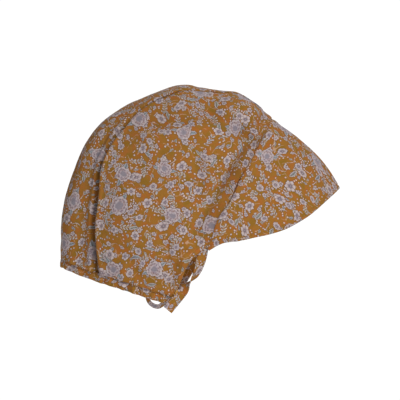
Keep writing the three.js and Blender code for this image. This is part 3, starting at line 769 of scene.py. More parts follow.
class Finish:
    """A material in the making."""

    def __init__(self, name: str) -> None:
        """Starts an empty material.

        Args:
            name: the material's name.
        """
        self.material = bpy.data.materials.new(name)
        self.material.use_nodes = True
        self.tree = self.material.node_tree
        self.tree.nodes.clear()

    def node(self, kind: str, settings: dict[str, Any] | None = None, inputs: dict[Any, Any] | None = None, output: Any = 0) -> Signal:
        """Adds a node.

        Args:
            kind: its type.
            settings: what is set on it first.
            inputs: values or signals of its sockets.
            output: which output to give back.

        Returns:
            That output.
        """
        made = self.tree.nodes.new(kind)
        for key, value in (settings or {}).items():
            setattr(made, key, value)
        for key, value in (inputs or {}).items():
            if isinstance(value, Signal):
                self.tree.links.new(value.socket, made.inputs[key])
            else:
                made.inputs[key].default_value = value
        return Signal(self, made.outputs[output])

    def maths(self, operation: str, *values: Any, clamp: bool = False) -> Signal:
        """A sum on numbers."""
        return self.node("ShaderNodeMath", {"operation": operation, "use_clamp": clamp}, dict(enumerate(values)))

    def vectors(self, operation: str, *values: Any, output: Any = 0) -> Signal:
        """A sum on vectors."""
        return self.node("ShaderNodeVectorMath", {"operation": operation}, dict(enumerate(values)), output)

    def blend(self, share: Any, below: Any, above: Any) -> Signal:
        """One colour laid over another by a share."""
        return self.node("ShaderNodeMix", {"data_type": "RGBA"}, {0: share, 6: below, 7: above}, 2)

    def with_painted_shade(self, colour: Any, painted_shade_tint: tuple) -> Signal:
        """Painted shade: a colour darkened where the cloth lies deep in a seam or fold, standing in for the shade
        there.
        """
        # Painted shade: the depth attribute multiplies the colour towards a dark tint.
        depth = self.node("ShaderNodeAttribute", {"attribute_name": "depth"}, {}, "Fac")
        return self.node("ShaderNodeMix", {"data_type": "RGBA", "blend_type": "MULTIPLY"}, {0: depth, 6: colour, 7: painted_shade_tint}, 2)

    def noise(self, at: Signal, wave: float, detail: float = 0.0, output: Any = 0) -> Signal:
        """Smooth unevenness, 0 to 1, with swellings some millimetres apart."""
        settings = {"noise_dimensions": "2D"}
        return self.node("ShaderNodeTexNoise", settings, {"Vector": at, "Scale": 1 / wave, "Detail": detail}, output)

    def cloth(self) -> Signal:
        """Where a point lies on the flat cut, in millimetres."""
        cut = self.node("ShaderNodeUVMap", {"uv_map": "cut"})
        return self.vectors("MULTIPLY", cut, (1000.0, 1000.0, 0.0))

    def weave(self, at: Signal, yarn: float) -> Signal:
        """The height of a plain weave, 0 to 1.

        Args:
            at: place on the cloth.
            yarn: millimetres from one yarn to the next.

        Returns:
            The height.
        """
        place = self.node("ShaderNodeSeparateXYZ", {}, {0: at})
        u, v = place * (math.pi / yarn), place.other("Y") * (math.pi / yarn)
        over = self.maths("SINE", u) * self.maths("SINE", v)
        return over * 0.35 + self.noise(at, 1.6 * yarn, 1.0) * 0.65

    def scatter(self, at: Signal, cell: float, jitter: float, turn: float) -> Spot:
        """Spreads motifs over the cloth, one to a cell, each turned its own way.

        Args:
            at: place on the cloth.
            cell: millimetres from one motif to the next.
            jitter: how far they leave an even lattice.
            turn: how the lattice is turned.

        Returns:
            Each motif's own view.
        """
        turned = self.node("ShaderNodeVectorRotate", {"rotation_type": "Z_AXIS"}, {"Vector": at, "Angle": turn})
        inputs = {"Vector": turned, "Scale": 1 / cell, "Randomness": jitter}
        cells = self.node("ShaderNodeTexVoronoi", {"voronoi_dimensions": "2D"}, inputs, "Color")
        local = self.vectors("SUBTRACT", turned, cells.other("Position"))
        chance = self.node("ShaderNodeSeparateColor", {}, {0: cells})
        settings = {"rotation_type": "Z_AXIS"}
        spun = self.node("ShaderNodeVectorRotate", settings, {"Vector": local, "Angle": chance * (2 * math.pi)})
        xyz = self.node("ShaderNodeSeparateXYZ", {}, {0: spun})
        x, y = xyz, xyz.other("Y")
        distance = self.vectors("LENGTH", spun, output="Value")
        chances = (chance, chance.other("Green"), chance.other("Blue"))
        return Spot(x, y, distance, self.maths("ARCTAN2", y, x), cells.other("Position"), chances)

    def shade(self, colour: Any, roughness: Any, height: Signal | None, rise: float, sheen: float = 0.0, level: float = 0.3) -> bpy.types.Material:
        """Ends the material in its surface.

        Args:
            colour: base colour.
            roughness: base roughness.
            height: what the surface's relief follows, 0 to 1.
            rise: that relief in metres.
            sheen: weight of the fibres' sheen.
            level: specular level.

        Returns:
            The material.
        """
        inputs = {"Base Color": colour, "Roughness": roughness, "Sheen Weight": sheen, "Sheen Roughness": 0.6}
        inputs["Specular IOR Level"] = level
        if height is not None:
            inputs["Normal"] = self.node("ShaderNodeBump", {}, {"Strength": 1.0, "Distance": rise, "Height": height})
        surface = self.node("ShaderNodeBsdfPrincipled", {}, inputs)
        self.node_out(surface)
        return self.material

    def node_out(self, surface: Signal) -> None:
        """Joins a surface to the material's output."""
        out = self.tree.nodes.new("ShaderNodeOutputMaterial")
        self.tree.links.new(surface.socket, out.inputs["Surface"])


def paint(red: int, green: int, blue: int, lift: float = 1.0) -> tuple[float, float, float, float]:
    """A colour seen on a screen, as linear light.

    Args:
        red: 0 to 255.
        green: 0 to 255.
        blue: 0 to 255.
        lift: how much lighter.

    Returns:
        Red, green, blue and 1.
    """
    linear = [((c / 255 + 0.055) / 1.055) ** 2.4 if c > 10 else c / 3294 for c in (red, green, blue)]
    return tuple(min(c * lift, 0.95) for c in linear) + (1.0,)


@dataclass(frozen=True)
class MeadowPrint:
    """Cotton printed all over with small mixed flowers, leaves and stems of this maker's own."""

    name: str = "meadow_print"
    ground: tuple = paint(156, 107, 40)
    ground_warm: tuple = paint(168, 101, 42)
    ground_olive: tuple = paint(140, 104, 32)
    ground_deep: tuple = paint(84, 54, 28)
    pale: tuple = paint(205, 193, 192)
    cream: tuple = paint(216, 186, 172)
    lilac: tuple = paint(152, 136, 148)
    blush: tuple = paint(176, 150, 146)
    mist: tuple = paint(138, 131, 140)
    leaf: tuple = paint(158, 154, 134)
    leaf_blue: tuple = paint(146, 154, 160)
    line: tuple = paint(82, 58, 54)
    stem: tuple = paint(200, 166, 142)
    # Painted shade: the dark tint that the print is multiplied towards deep in seams and folds.
    painted_shade_tint: tuple = (0.34, 0.3, 0.3, 1.0)
    yarn: float = 0.55

    def dress(self) -> bpy.types.Material:
        """Makes the material, from the stems up to the posies."""
        f = Finish(self.name)
        cloth = f.cloth()
        drift = f.vectors("MULTIPLY_ADD", f.noise(cloth, 27, output="Color"), (7.0, 7.0, 0.0), cloth)
        hand = f.vectors("MULTIPLY_ADD", f.noise(drift, 2.1, 1.0, output="Color"), (1.5, 1.5, 0.0), drift)
        warm, olive = f.noise(cloth, 7, 1.0), f.noise(drift, 11, 1.0)
        colour = f.blend(((warm - 0.4) * 3.0).within(), self.ground, self.ground_warm)
        colour = f.blend(((olive - 0.52) * 5.0).within() * 0.8, colour, self.ground_olive)
        colour = self.stems(f, hand, colour)
        colour = self.dots(f, drift, colour)
        colour = self.leaves(f, hand, colour, cell=10.4, turn=0.35, reach=1.9)
        colour = self.strokes(f, hand, colour)
        colour = self.sprigs(f, hand, colour, cell=18.5, turn=1.1)
        colour = self.leaves(f, hand, colour, cell=25.0, turn=0.9, reach=4.6)
        colour = self.blossoms(f, hand, colour, cell=11.8, reach=2.3, turn=0.8, petals=5)
        colour = self.blossoms(f, hand, colour, cell=29.0, reach=4.1, turn=2.2, petals=11)
        colour = self.blossoms(f, hand, colour, cell=21.5, reach=4.8, turn=1.9, petals=6)
        colour = self.posies(f, hand, colour)
        grain = f.noise(cloth, 0.9, 2.0)
        colour = f.blend(((grain - 0.48) * 0.8).within(), colour, self.ground_deep)
        # Painted shade in seams, folds, along the hem and along the front edge.
        colour = f.with_painted_shade(colour, self.painted_shade_tint)
        return f.shade(colour, 0.84 + grain * 0.12, f.weave(cloth, self.yarn), 0.00006, sheen=0.04, level=0.15)

    def thinned(self, f: Finish, spot: Spot, least: float) -> Signal:
        """1 on the motifs that are printed: they keep together, with open ground between."""
        return (spot.chances[2] + (f.noise(spot.home, 21.0) - 0.5) * 2.2) > least

    def stems(self, f: Finish, at: Signal, colour: Signal) -> Signal:
        """Thin wandering stems in short stretches.

        Args:
            f: the finish.
            at: place on the cloth.
            colour: what is printed so far.

        Returns:
            The colour with the stems.
        """
        for wave, width in ((22.0, 0.008), (14.0, 0.012)):
            line = width - abs(f.noise(at, wave) - 0.5)
            stretch = f.noise(at, wave * 0.5) - 0.54
            mask = line.edge(0.01) * stretch.edge(0.03)
            colour = f.blend(mask * 0.7, colour, self.stem)
        return colour

    def dots(self, f: Finish, at: Signal, colour: Signal) -> Signal:
        """Strings of small round dots, dark round the edge, and a few specks."""
        for cell, wave, band, turn in ((2.3, 26.0, 0.018, 0.6), (2.7, 18.0, 0.022, 1.7), (3.6, 9.0, 0.035, 2.9)):
            spot = f.scatter(at, cell, 0.3, turn)
            on = abs(f.noise(spot.home, wave) - 0.52) < band
            size = 0.58 + spot.chances[1] * 0.26
            colour = f.blend((size + 0.4 - spot.distance).edge(0.3) * on * 0.7, colour, self.line)
            colour = f.blend((size - spot.distance).edge(0.25) * on, colour, f.blend(spot.chances[2], self.pale, self.cream))
        return colour

    def strokes(self, f: Finish, at: Signal, colour: Signal) -> Signal:
        """Short bent strokes, pale on the ground."""
        spot = f.scatter(at, 13.5, 0.4, 0.5)
        bend = abs(spot.y - spot.x * spot.x * 0.11)
        stroke = (0.42 - bend - abs(spot.x) * 0.05).edge(0.25) * (3.6 + spot.chances[1] - abs(spot.x)).edge(0.4)
        on = spot.chances[2] > 0.35
        shadow = (0.9 - bend).edge(0.4) * (3.6 + spot.chances[1] - abs(spot.x)).edge(0.4)
        colour = f.blend(shadow * on * 0.4, colour, self.ground_deep)
        return f.blend(stroke * on * 0.9, colour, f.blend(spot.chances[1], self.pale, self.stem))

    def leaves(self, f: Finish, at: Signal, colour: Signal, cell: float, turn: float, reach: float) -> Signal:
        """Single pointed leaves, half in shade, with a midrib and a pale edge."""
        spot = f.scatter(at, cell, 0.52, turn)
        length = reach * (1 + spot.chances[1] * 0.35)
        width = 0.5 + reach * 0.27
        bend = spot.y - spot.x * spot.x * (0.1 / reach)
        blade = width * (1 - abs(spot.x / length) ** 1.7) - abs(bend)
        on = self.thinned(f, spot, 0.25) if reach < 3 else spot.chances[2] > 0.3
        face = f.blend(spot.chances[1], self.leaf, self.leaf_blue)
        face = f.blend(bend.edge(0.3) * 0.45, face, self.mist)
        face = f.blend((0.12 + reach * 0.03 - abs(bend)).edge(0.2) * 0.8, face, self.line)
        face = f.blend((0.12 + reach * 0.06 - blade).edge(0.3) * 0.85, face, self.pale)
        colour = f.blend((blade + 0.4).edge(0.35) * on * 0.7, colour, self.line)
        return f.blend(blade.edge(0.25) * on, colour, face)

    def sprigs(self, f: Finish, at: Signal, colour: Signal, cell: float, turn: float) -> Signal:
        """Little sprays, pairs of leaflets along a bent stem."""
        spot = f.scatter(at, cell, 0.32, turn)
        bend = spot.y - spot.x * spot.x * 0.06
        side = abs(bend)
        run = spot.x - side * 0.75
        pitch = 2.8
        along = (run / pitch + 0.5).fraction() * pitch - pitch / 2
        swell = (side - 1.3) / 1.3
        leaflet = 0.85 * (1 - swell * swell) - abs(along)
        on = self.thinned(f, spot, 0.3) * (5.0 - abs(spot.x)).edge(0.6)
        colour = f.blend((leaflet + 0.38).edge(0.3) * on * 0.7, colour, self.line)
        colour = f.blend((0.2 - side).edge(0.25) * on * 0.8, colour, self.stem)
        face = f.blend(spot.chances[1], self.leaf, self.leaf_blue)
        return f.blend(leaflet.edge(0.3) * on, colour, f.blend((side / 2.2).within() * 0.9, face, self.pale))

    def bloom(self, f: Finish, colour: Signal, x: Signal, y: Signal, size: Any, petals: int, on: Any, chance: Signal) -> Signal:
        """Prints one flower.

        Args:
            f: the finish.
            colour: what is printed so far.
            x: millimetres from the flower's middle.
            y: millimetres the other way.
            size: its radius.
            petals: how many it has.
            on: 1 where it is printed.
            chance: what tells it from the next one.

        Returns:
            The colour with the flower.
        """
        away = f.maths("SQRT", x * x + y * y)
        angle = f.maths("ARCTAN2", y, x)
        lobe = abs((angle * (petals / 2)).wave())
        reach = away / size
        rim = 0.66 + 0.34 * lobe**0.5 - reach
        tint = f.blend(chance, self.lilac, self.blush)
        face = f.blend(((reach - 0.3) * 1.7).within() * 0.85, tint, self.pale)
        inner = abs(f.maths("SINE", angle * (petals / 2)))
        ring = 0.07 - abs(reach - 0.3 - 0.18 * inner)
        face = f.blend((ring * size).edge(0.4) * 0.6, face, self.mist)
        face = f.blend(((0.15 - lobe) * away).edge(0.5) * (reach - 0.25).edge(0.1) * 0.75, face, self.line)
        face = f.blend(((0.27 - reach) * size).edge(0.4) * 0.9, face, self.mist)
        face = f.blend(((0.09 - abs(reach - 0.27)) * size).edge(0.3) * 0.45, face, self.line)
        face = f.blend((0.32 - away).edge(0.3) * 0.7, face, self.cream)
        colour = f.blend((rim * size + 0.5).edge(0.4) * on * 0.8, colour, self.line)
        return f.blend((rim * size).edge(0.3) * on, colour, face)

    def blossoms(self, f: Finish, at: Signal, colour: Signal, cell: float, reach: float, turn: float, petals: int) -> Signal:
        """Single flowers, some seen askew."""
        spot = f.scatter(at, cell, 0.48, turn)
        size = reach * (0.78 + spot.chances[1] * 0.4)
        on = self.thinned(f, spot, 0.3) if reach < 3 else spot.chances[2] > 0.14
        return self.bloom(f, colour, spot.x * (1 + spot.chances[2] * 0.45), spot.y, size, petals, on, spot.chances[1])

    def posies(self, f: Finish, at: Signal, colour: Signal) -> Signal:
        """Posies: a many-petalled flower with smaller ones and leaves tucked in beside it."""
        spot = f.scatter(at, 48.0, 0.5, 0.2)
        on = spot.chances[2] > 0.12
        size = 7.2 + spot.chances[1] * 1.6
        for turn, out, length in ((0.6, 8.6, 5.0), (3.9, 8.8, 4.4)):
            x = spot.x * math.cos(turn) + spot.y * math.sin(turn) - out
            y = spot.y * math.cos(turn) - spot.x * math.sin(turn)
            blade = 2.0 * (1 - abs(x / length) ** 1.6) - abs(y)
            face = f.blend((0.25 - abs(y)).edge(0.3) * 0.8, self.leaf_blue, self.line)
            face = f.blend((0.4 - blade).edge(0.4) * 0.8, face, self.pale)
            colour = f.blend((blade + 0.45).edge(0.4) * on * 0.8, colour, self.line)
            colour = f.blend(blade.edge(0.3) * on, colour, face)
        for turn, out, small, petals in ((2.4, 7.4, 3.6, 5), (5.2, 7.6, 3.2, 6)):
            x, y = spot.x - out * math.cos(turn), spot.y - out * math.sin(turn)
            colour = self.bloom(f, colour, x, y, small, petals, on, spot.chances[1])
        petal = f.scatter(at, 2.5, 0.75, 0.4)
        lobe = abs((spot.angle * 4.5).wave())
        rim = size * (0.84 + 0.16 * lobe**0.6) - spot.distance
        face = f.blend(((petal.distance - 0.75) * 1.5).within() * 0.85, f.blend(petal.chances[1], self.lilac, self.blush), f.blend(0.25, self.pale, self.lilac))
        face = f.blend((0.4 - petal.distance).edge(0.4) * 0.45, face, self.line)
        face = f.blend((0.3 - abs(spot.distance - size * (0.62 + 0.06 * lobe))).edge(0.4) * 0.45, face, self.line)
        face = f.blend((0.7 - rim).edge(0.5) * 0.8, face, self.pale)
        face = f.blend((size * 0.38 + (petal.chances[1] - 0.5) * 1.4 - spot.distance).edge(0.9) * 0.9, face, self.mist)
        colour = f.blend((rim + 0.5).edge(0.4) * on * 0.8, colour, self.line)
        return f.blend(rim.edge(0.35) * on, colour, face)


@dataclass(frozen=True)
class PlainLining:
    """Plain cotton lining, coloured lighter than the cloth as painted light on the shaded inside."""

    name: str = "plain_lining"
    # Painted light: both tones are lighter than the cloth so that the shaded inside reads brighter.
    cloth: tuple = paint(224, 168, 66)
    deep: tuple = paint(192, 138, 52)
    # Painted shade: the dark tint that the lining is multiplied towards deep in seams and folds.
    painted_shade_tint: tuple = (0.4, 0.36, 0.34, 1.0)
    yarn: float = 0.5

    def dress(self) -> bpy.types.Material:
        """Makes the material."""
        f = Finish(self.name)
        at = f.cloth()
        grain = f.noise(at, 0.8, 2.0)
        slub = f.noise(at, 14, 3.0)
        # Painted shade in seams and folds, as on the print.
        colour = f.with_painted_shade(f.blend(grain * 0.35 + slub * 0.4, self.cloth, self.deep), self.painted_shade_tint)
        return f.shade(colour, 0.86 + grain * 0.1, f.weave(at, self.yarn), 0.00006, sheen=0.12)


@dataclass(frozen=True)
class SewingThread:
    """Twisted cotton thread."""

    name: str = "sewing_thread"
    light: tuple = paint(150, 108, 62)
    dark: tuple = paint(96, 66, 36)

    def dress(self) -> bpy.types.Material:
        """Makes the material."""
        f = Finish(self.name)
        at = f.vectors("SCALE", f.node("ShaderNodeTexCoord", {}, {}, "Object"), (0, 0, 0))
        at.socket.node.inputs["Scale"].default_value = 1000.0
        twist = f.node("ShaderNodeTexNoise", {"noise_dimensions": "3D"}, {"Vector": at, "Scale": 1.4, "Detail": 2.0})
        colour = f.blend(twist, self.dark, self.light)
        return f.shade(colour, 0.6 + twist * 0.2, twist, 0.00005, sheen=0.1)


@dataclass(frozen=True)
class PalePaper:
    """The studio's pale floor, which fades into the white around it."""

    name: str = "pale_floor"
    colour: tuple = (0.93, 0.93, 0.93, 1.0)
    shade: tuple = (0.88, 0.88, 0.88, 1.0)
    clear: float = 0.2
    reach: float = 0.49

    def dress(self) -> bpy.types.Material:
        """Makes the material."""
        f = Finish(self.name)
        at = f.node("ShaderNodeTexCoord", {}, {}, "Object")
        grain = f.node("ShaderNodeTexNoise", {"noise_dimensions": "3D"}, {"Vector": at, "Scale": 3.0, "Detail": 2.0})
        paper = f.node("ShaderNodeBsdfPrincipled", {}, {"Base Color": f.blend(grain * 0.3, self.colour, self.shade), "Roughness": 0.95})
        glow = f.node("ShaderNodeEmission", {}, {"Strength": 1.05})
        flat = f.vectors("LENGTH", f.vectors("MULTIPLY", at, (1.0, 1.0, 0.0)), output="Value")
        f.node_out(f.node("ShaderNodeMixShader", {}, {0: ((flat - self.clear) / (self.reach - self.clear)).within() ** 0.6, 1: paper, 2: glow}))
        return f.material


@dataclass
class Wardrobe:
    """The finishes, made once."""

    print: bpy.types.Material = field(default_factory=lambda: MeadowPrint().dress())
    lining: bpy.types.Material = field(default_factory=lambda: PlainLining().dress())
    thread: bpy.types.Material = field(default_factory=lambda: SewingThread().dress())


def lay(name: str, points: Array, flat: Array, finishes: Iterable[bpy.types.Material], depth: Array | None = None, welded: bool = False) -> bpy.types.Object:
    """Lays a fine grid of cloth through points.

    Args:
        name: the piece's name.
        points: a grid of points in millimetres.
        flat: the same grid on the flat cut, in millimetres.
        finishes: its materials.
        depth: how deep in a seam or fold each point lies, 0 to 1, which sets how much painted shade darkens the print
            there.
        welded: whether rows and columns that meet are joined.

    Returns:
        The object.
    """
    rows, columns = points.shape[:2]
    bm = bmesh.new()
    bm.loops.layers.uv.new("cut")
    bmesh.ops.create_grid(bm, x_segments=rows - 1, y_segments=columns - 1, size=1.0, calc_uvs=True)
    mesh = bpy.data.meshes.new(name)
    bm.to_mesh(mesh)
    bm.free()
    place = np.empty(len(mesh.vertices) * 3)
    mesh.vertices.foreach_get("co", place)
    place = place.reshape(-1, 3)
    i = np.rint((place[:, 0] + 1) / 2 * (rows - 1)).astype(int)
    j = np.rint((place[:, 1] + 1) / 2 * (columns - 1)).astype(int)
    mesh.vertices.foreach_set("co", (points[i, j] * MM).ravel())
    corner = np.empty(len(mesh.loops), int)
    mesh.loops.foreach_get("vertex_index", corner)
    mesh.uv_layers[0].data.foreach_set("uv", (flat[i, j] * MM)[corner].ravel())
    if depth is not None:
        # Painted shade: the attribute that darkens the print in seams and folds.
        mesh.attributes.new("depth", "FLOAT", "POINT").data.foreach_set("value", np.clip(depth, 0, 1)[i, j])
    if welded:
        bm = bmesh.new()
        bm.from_mesh(mesh)
        bmesh.ops.remove_doubles(bm, verts=bm.verts, dist=2e-6)
        bmesh.ops.dissolve_degenerate(bm, edges=bm.edges, dist=1e-7)
        bmesh.ops.recalc_face_normals(bm, faces=bm.faces)
        bm.to_mesh(mesh)
        bm.free()
    mesh.shade_smooth()
    for finish in finishes:
        mesh.materials.append(finish)
    piece = bpy.data.objects.new(name, mesh)
    bpy.context.scene.collection.objects.link(piece)
    return piece


def thicken(piece: bpy.types.Object, cloth: float, soft: float) -> None:
    """Gives a sheet its thickness inwards, lined, with soft edges.

    Args:
        piece: the sheet.
        cloth: thickness in millimetres.
        soft: the rounding of its edges in millimetres.
    """
    wall = piece.modifiers.new("lined", "SOLIDIFY")
    wall.thickness, wall.offset = cloth * MM, -1.0
    wall.material_offset, wall.material_offset_rim = 1, 1
    edge = piece.modifiers.new("turned_edge", "BEVEL")
    edge.width, edge.segments, edge.profile = soft * MM, 2, 0.5
    edge.limit_method, edge.angle_limit, edge.material = "ANGLE", math.radians(55), -1


def wrapped(middle: Array, normal: Array, half: Array, strip: bool = False) -> Array:
    """A closed piece's rows: out along its upper side and back along its lower one.

    Args:
        middle: the grid midway through its thickness.
        normal: its normals.
        half: half its thickness.
        strip: whether its first edge is a flat strip.

    Returns:
        The rows.
    """
    upper, lower = middle + normal * half[..., None], middle - normal * half[..., None]
    rows = [upper, lower[-2::-1]]
    return np.concatenate(rows + [upper[:1]] if strip else rows)


def wrapped_flat(flat: Array, strip: bool = False) -> Array:
    """The flat cut of a wrapped piece, carried on over its outer edge."""
    back = 2 * flat[-1:] - flat[-2::-1]
    return np.concatenate([flat, back, back[-1:]] if strip else [flat, back])


@dataclass
class Stitching:
    """Rows of lock stitches lying on the cloth."""

    name: str
    finish: bpy.types.Material
    pitch: float = 2.6
    length: float = 1.9
    width: float = 0.5
    rise: float = 0.34

    def __post_init__(self) -> None:
        """Opens the mesh."""
        self.bm = bmesh.new()
        self.count = 0

    def run(self, path: Array, normals: Array, sink: float = 0.1) -> None:
        """Sews along a line.

        Args:
            path: points of the line in millimetres.
            normals: the cloth's normals there.
            sink: how far the thread lies in the cloth.
        """
        arc = np.concatenate([[0], np.cumsum(np.linalg.norm(np.diff(path, axis=0), axis=-1))])
        places = np.arange(self.pitch, arc[-1] - self.pitch / 2, self.pitch)
        ends = [np.stack([np.interp(places + d, arc, path[:, c]) for c in range(3)], -1) for d in (-0.3, 0.0, 0.3)]
        up = np.stack([np.interp(places, arc, normals[:, c]) for c in range(3)], -1)
        for before, here, after, n in zip(*ends, up):
            along = Vector(after - before).normalized()
            over = Vector(n).normalized()
            aside = over.cross(along).normalized()
            over = along.cross(aside)
            turn = Matrix((along, aside, over)).transposed().to_4x4()
            scale = Matrix.Diagonal((self.length / 2 * MM, self.width / 2 * MM, self.rise * MM, 1))
            where = Matrix.Translation((Vector(here) - over * sink) * MM)
            bmesh.ops.create_uvsphere(self.bm, u_segments=6, v_segments=4, radius=1.0, matrix=where @ turn @ scale)
            self.count += 1

    def close(self) -> bpy.types.Object:
        """Makes the piece.

        Returns:
            The object.
        """
        mesh = bpy.data.meshes.new(self.name)
        bmesh.ops.recalc_face_normals(self.bm, faces=self.bm.faces)
        self.bm.to_mesh(mesh)
        self.bm.free()
        mesh.shade_smooth()
        mesh.materials.append(self.finish)
        piece = bpy.data.objects.new(self.name, mesh)
        bpy.context.scene.collection.objects.link(piece)
        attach(piece, BODY)
        log.info("%s: %d stitches", self.name, self.count)
        return piece


def declare(piece: bpy.types.Object, node: str) -> None:
    """Attaches a piece of cloth to the bonnet's body and hides the solid that it stands for.

    Args:
        piece: the piece.
        node: the solid that it stands for.
    """
    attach(piece, BODY)
    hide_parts(node)


@dataclass
class SidePanel:
    """A side of the crown and of the neck, lined."""

    form: BonnetForm
    wardrobe: Wardrobe
    side: Side
    steps: int = 168
    middle: tuple[float, float] = (-0.02, 0.24)
    forward: float = 11.0
    flap: float = 27.0

    def border(self, stretch: Array, share: Array) -> tuple[Array, Array]:
        """The panel's border in the side view, in four stretches.

        Args:
            stretch: 0 and 1 on the crown's seam, 2 on the casing and 3 on the front edge.
            share: how far along the stretch.

        Returns:
            x and z.
        """
        form = self.form
        seam = form.centre_point(form.seam_share(np.minimum((stretch + share) / 2, 1)), np.ones_like(share), 0.06)
        start = form.seam_meets_hem(form.panel_end)
        hem = form.hem_line(start + share * (1 - start), form.panel_end)
        front = form.front_line(form.front_start + share * (1 - form.front_start))
        pick = [stretch < 2, stretch == 2]
        return np.select(pick, [seam[..., 0], hem[0]], front[0]), np.select(pick, [seam[..., 2], hem[1]], front[1])

    def side_view(self, s: Array, t: Array) -> tuple[Array, Array]:
        """The side view as a square of rings that grow out to the border."""
        a, b = 2 * s - 1, 2 * t - 1
        ring = np.maximum(np.abs(a), np.abs(b))
        u, v = a / np.maximum(ring, 1e-9), b / np.maximum(ring, 1e-9)
        top, back, low = v > 1 - 1e-9, u < -1 + 1e-9, v < -1 + 1e-9
        stretch = np.select([top, back, low], [0, 1, 2], 3)
        share = np.select([top, back, low], [(1 - u) / 2, (1 - v) / 2, (1 + u) / 2], (1 + v) / 2)
        x, z = self.border(stretch, share)
        mx, mz = self.form.place(*self.middle)
        grown = np.sin(ring * np.pi / 2) ** 0.85
        return mx + (x - mx) * grown, mz + (z - mz) * grown

    def relief(self, flat: Array, points: Array) -> Array:
        """The cloth's small relief: seams, gathers, hem and rumples.

        Args:
            flat: the cut.
            points: the cloth without it.

        Returns:
            Millimetres outwards.
        """
        rumple = Rumple(11 if self.side is Side.RIGHT else 23)
        u, v = flat[..., 0], flat[..., 1]
        top, along = distance_to(flat, flat[:, -1])
        back, down = distance_to(flat, flat[0, :])
        hem, run = distance_to(flat, flat[:, 0])
        front, rise = distance_to(flat, flat[-1, :])
        seam = np.minimum(top, back)
        height = self.form.seam_height(points, seam) + 0.3 * rumple(along + down, 0, 5.5) * np.exp(-seam / 6)
        near = np.exp(-((seam / 11) ** 2))
        height += self.creases(points[..., 0], points[..., 2]) * (1 - near)
        height -= 0.35 * np.minimum(self.form.fold_height(points[..., 0], points[..., 2]), 0) * near
        pleats = rumple(run, hem * 0.12, 7.0) + 0.5 * rumple(run + 40, hem * 0.2, 3.6)
        height += 1.25 * pleats * np.exp(-hem / 15) - 0.35 * np.exp(-((hem / 0.8) ** 2))
        sewn = front[-1:, :] * 0 + rise
        free = 1 / (1 + np.exp((sewn - 0.46 * rise.max()) / 4))
        height += free * (-0.45 * np.exp(-(((front - 6.0) / 0.7) ** 2)) + 0.25 * rumple(rise, 0, 4.5) * np.exp(-front / 7))
        height += (1 - free) * (-0.5 * np.exp(-((front / 1.1) ** 2)) + 0.2 * np.exp(-(((front - 5) / 3) ** 2)))
        height += 0.75 * rumple.layers(u, v, 34) + 0.16 * rumple(u, v, 6)
        return height

    def depth(self, flat: Array, points: Array) -> Array:
        """How deep the cloth lies in seams and folds, at the hem and along the front edge, which sets the strength of
        painted shade there.

        Args:
            flat: the cut.
            points: the cloth without its small relief.

        Returns:
            0 to 1.
        """
        seam = np.minimum(distance_to(flat, flat[:, -1])[0], distance_to(flat, flat[0, :])[0])
        x, z = points[..., 0], points[..., 2]
        folds = 0.28 * (1 - np.exp(np.minimum(self.creases(x, z) + self.form.fold_height(x, z), 0) / 4.5))
        hem, front = distance_to(flat, flat[:, 0])[0], distance_to(flat, flat[-1, :])[0]
        return self.form.painted_seam_shade(points, seam) + folds + 0.5 * np.exp(-((hem / 0.7) ** 2)) + 0.12 * np.exp(-((front / 0.8) ** 2))

    def unrolled(self, points: Array) -> Array:
        """A first guess of the panel's flat cut: every ray from the middle laid out at its own length.

        Args:
            points: the grid of the cloth.

        Returns:
            The same grid in the plane.
        """
        s, t = np.meshgrid(*(np.linspace(0, 1, n) for n in points.shape[:2]), indexing="ij")
        before, length = self.surface(0.5 + 0 * s, 0.5 + 0 * t), np.zeros(s.shape)
        middle = before[..., [0, 2]]
        for share in np.linspace(0, 1, 33)[1:]:
            here = self.surface(0.5 + (s - 0.5) * share, 0.5 + (t - 0.5) * share)
            length += np.linalg.norm(here - before, axis=-1)
            before = here
        return middle + unit(points[..., [0, 2]] - middle) * length[..., None]

    def surface(self, s: Array, t: Array) -> Array:
        """The right panel's cloth without relief."""
        return self.form.side_point(*self.side_view(s, t))[0]

    def creases(self, x: Array, z: Array) -> Array:
        """The dressed cloth's own smaller folds."""
        height = np.zeros(x.shape)
        for start, end, reach, rise in CREASES:
            (ax, az), (bx, bz) = self.form.place(*start), self.form.place(*end)
            run = np.array([bx - ax, bz - az])
            near = ((x - ax) * run[0] + (z - az) * run[1]) / (run @ run)
            past = np.maximum(np.abs(near - 0.5) - 0.5, 0) * math.sqrt(run @ run)
            aside = ((x - ax) * run[1] - (z - az) * run[0]) / math.sqrt(run @ run)
            height = height + rise * np.exp(-((aside / (reach * self.form.crown_length)) ** 2) - (past / 7) ** 2)
        return height

    def build(self) -> bpy.types.Object:
        """Builds and dresses the panel.

        Returns:
            The piece.
        """
        cut = Cut.relaxed(self.surface, (42, 42), start=self.unrolled, rounds=10, give=0.3)
        share = np.linspace(0, 1, self.steps + 1)
        points, normals = self.form.side_point(*self.side_view(*np.meshgrid(share, share, indexing="ij")))
        flat = cut.at(share, share)
        # Strength of the painted shade in seams, folds and along the edges.
        depth = self.depth(flat, points)
        points = points + normals * self.relief(flat, points)[..., None]
        if self.side is Side.LEFT:
            front = distance_to(flat, flat[-1, :])[0]
            points[..., 0] += self.forward * np.exp(-(((points[..., 2] - self.form.ear[1] + self.flap) / 9) ** 2) - (front / 22) ** 2)
            points = (points * (1, -1, 1))[::-1]
            flat = flat[::-1] * (-1, 1) + (180, 60)
            depth = depth[::-1]
        name = f"side_cloth_{self.side.name.lower()}"
        self.points = points
        piece = lay(name, points, flat, [self.wardrobe.print, self.wardrobe.lining], depth)
        thicken(piece, self.form.cloth, 0.6)
        declare(piece, f"side_panel_{self.side.name.lower()}")
        return piece

    def hem_stitches(self, stitching: Stitching) -> None:
        """Sews the turned front edge of the ear flap."""
        grid = self.points[::-1] if self.side is Side.RIGHT else self.points
        grid = grid[:, : int(0.52 * self.steps)]
        normals = grid_normals(grid)
        normals *= np.sign((normals[..., 1] * self.side.value).mean())
        line = inset(grid, 6.0)
        stitching.run(line, np.stack([normals[12, j] for j in range(grid.shape[1])]))


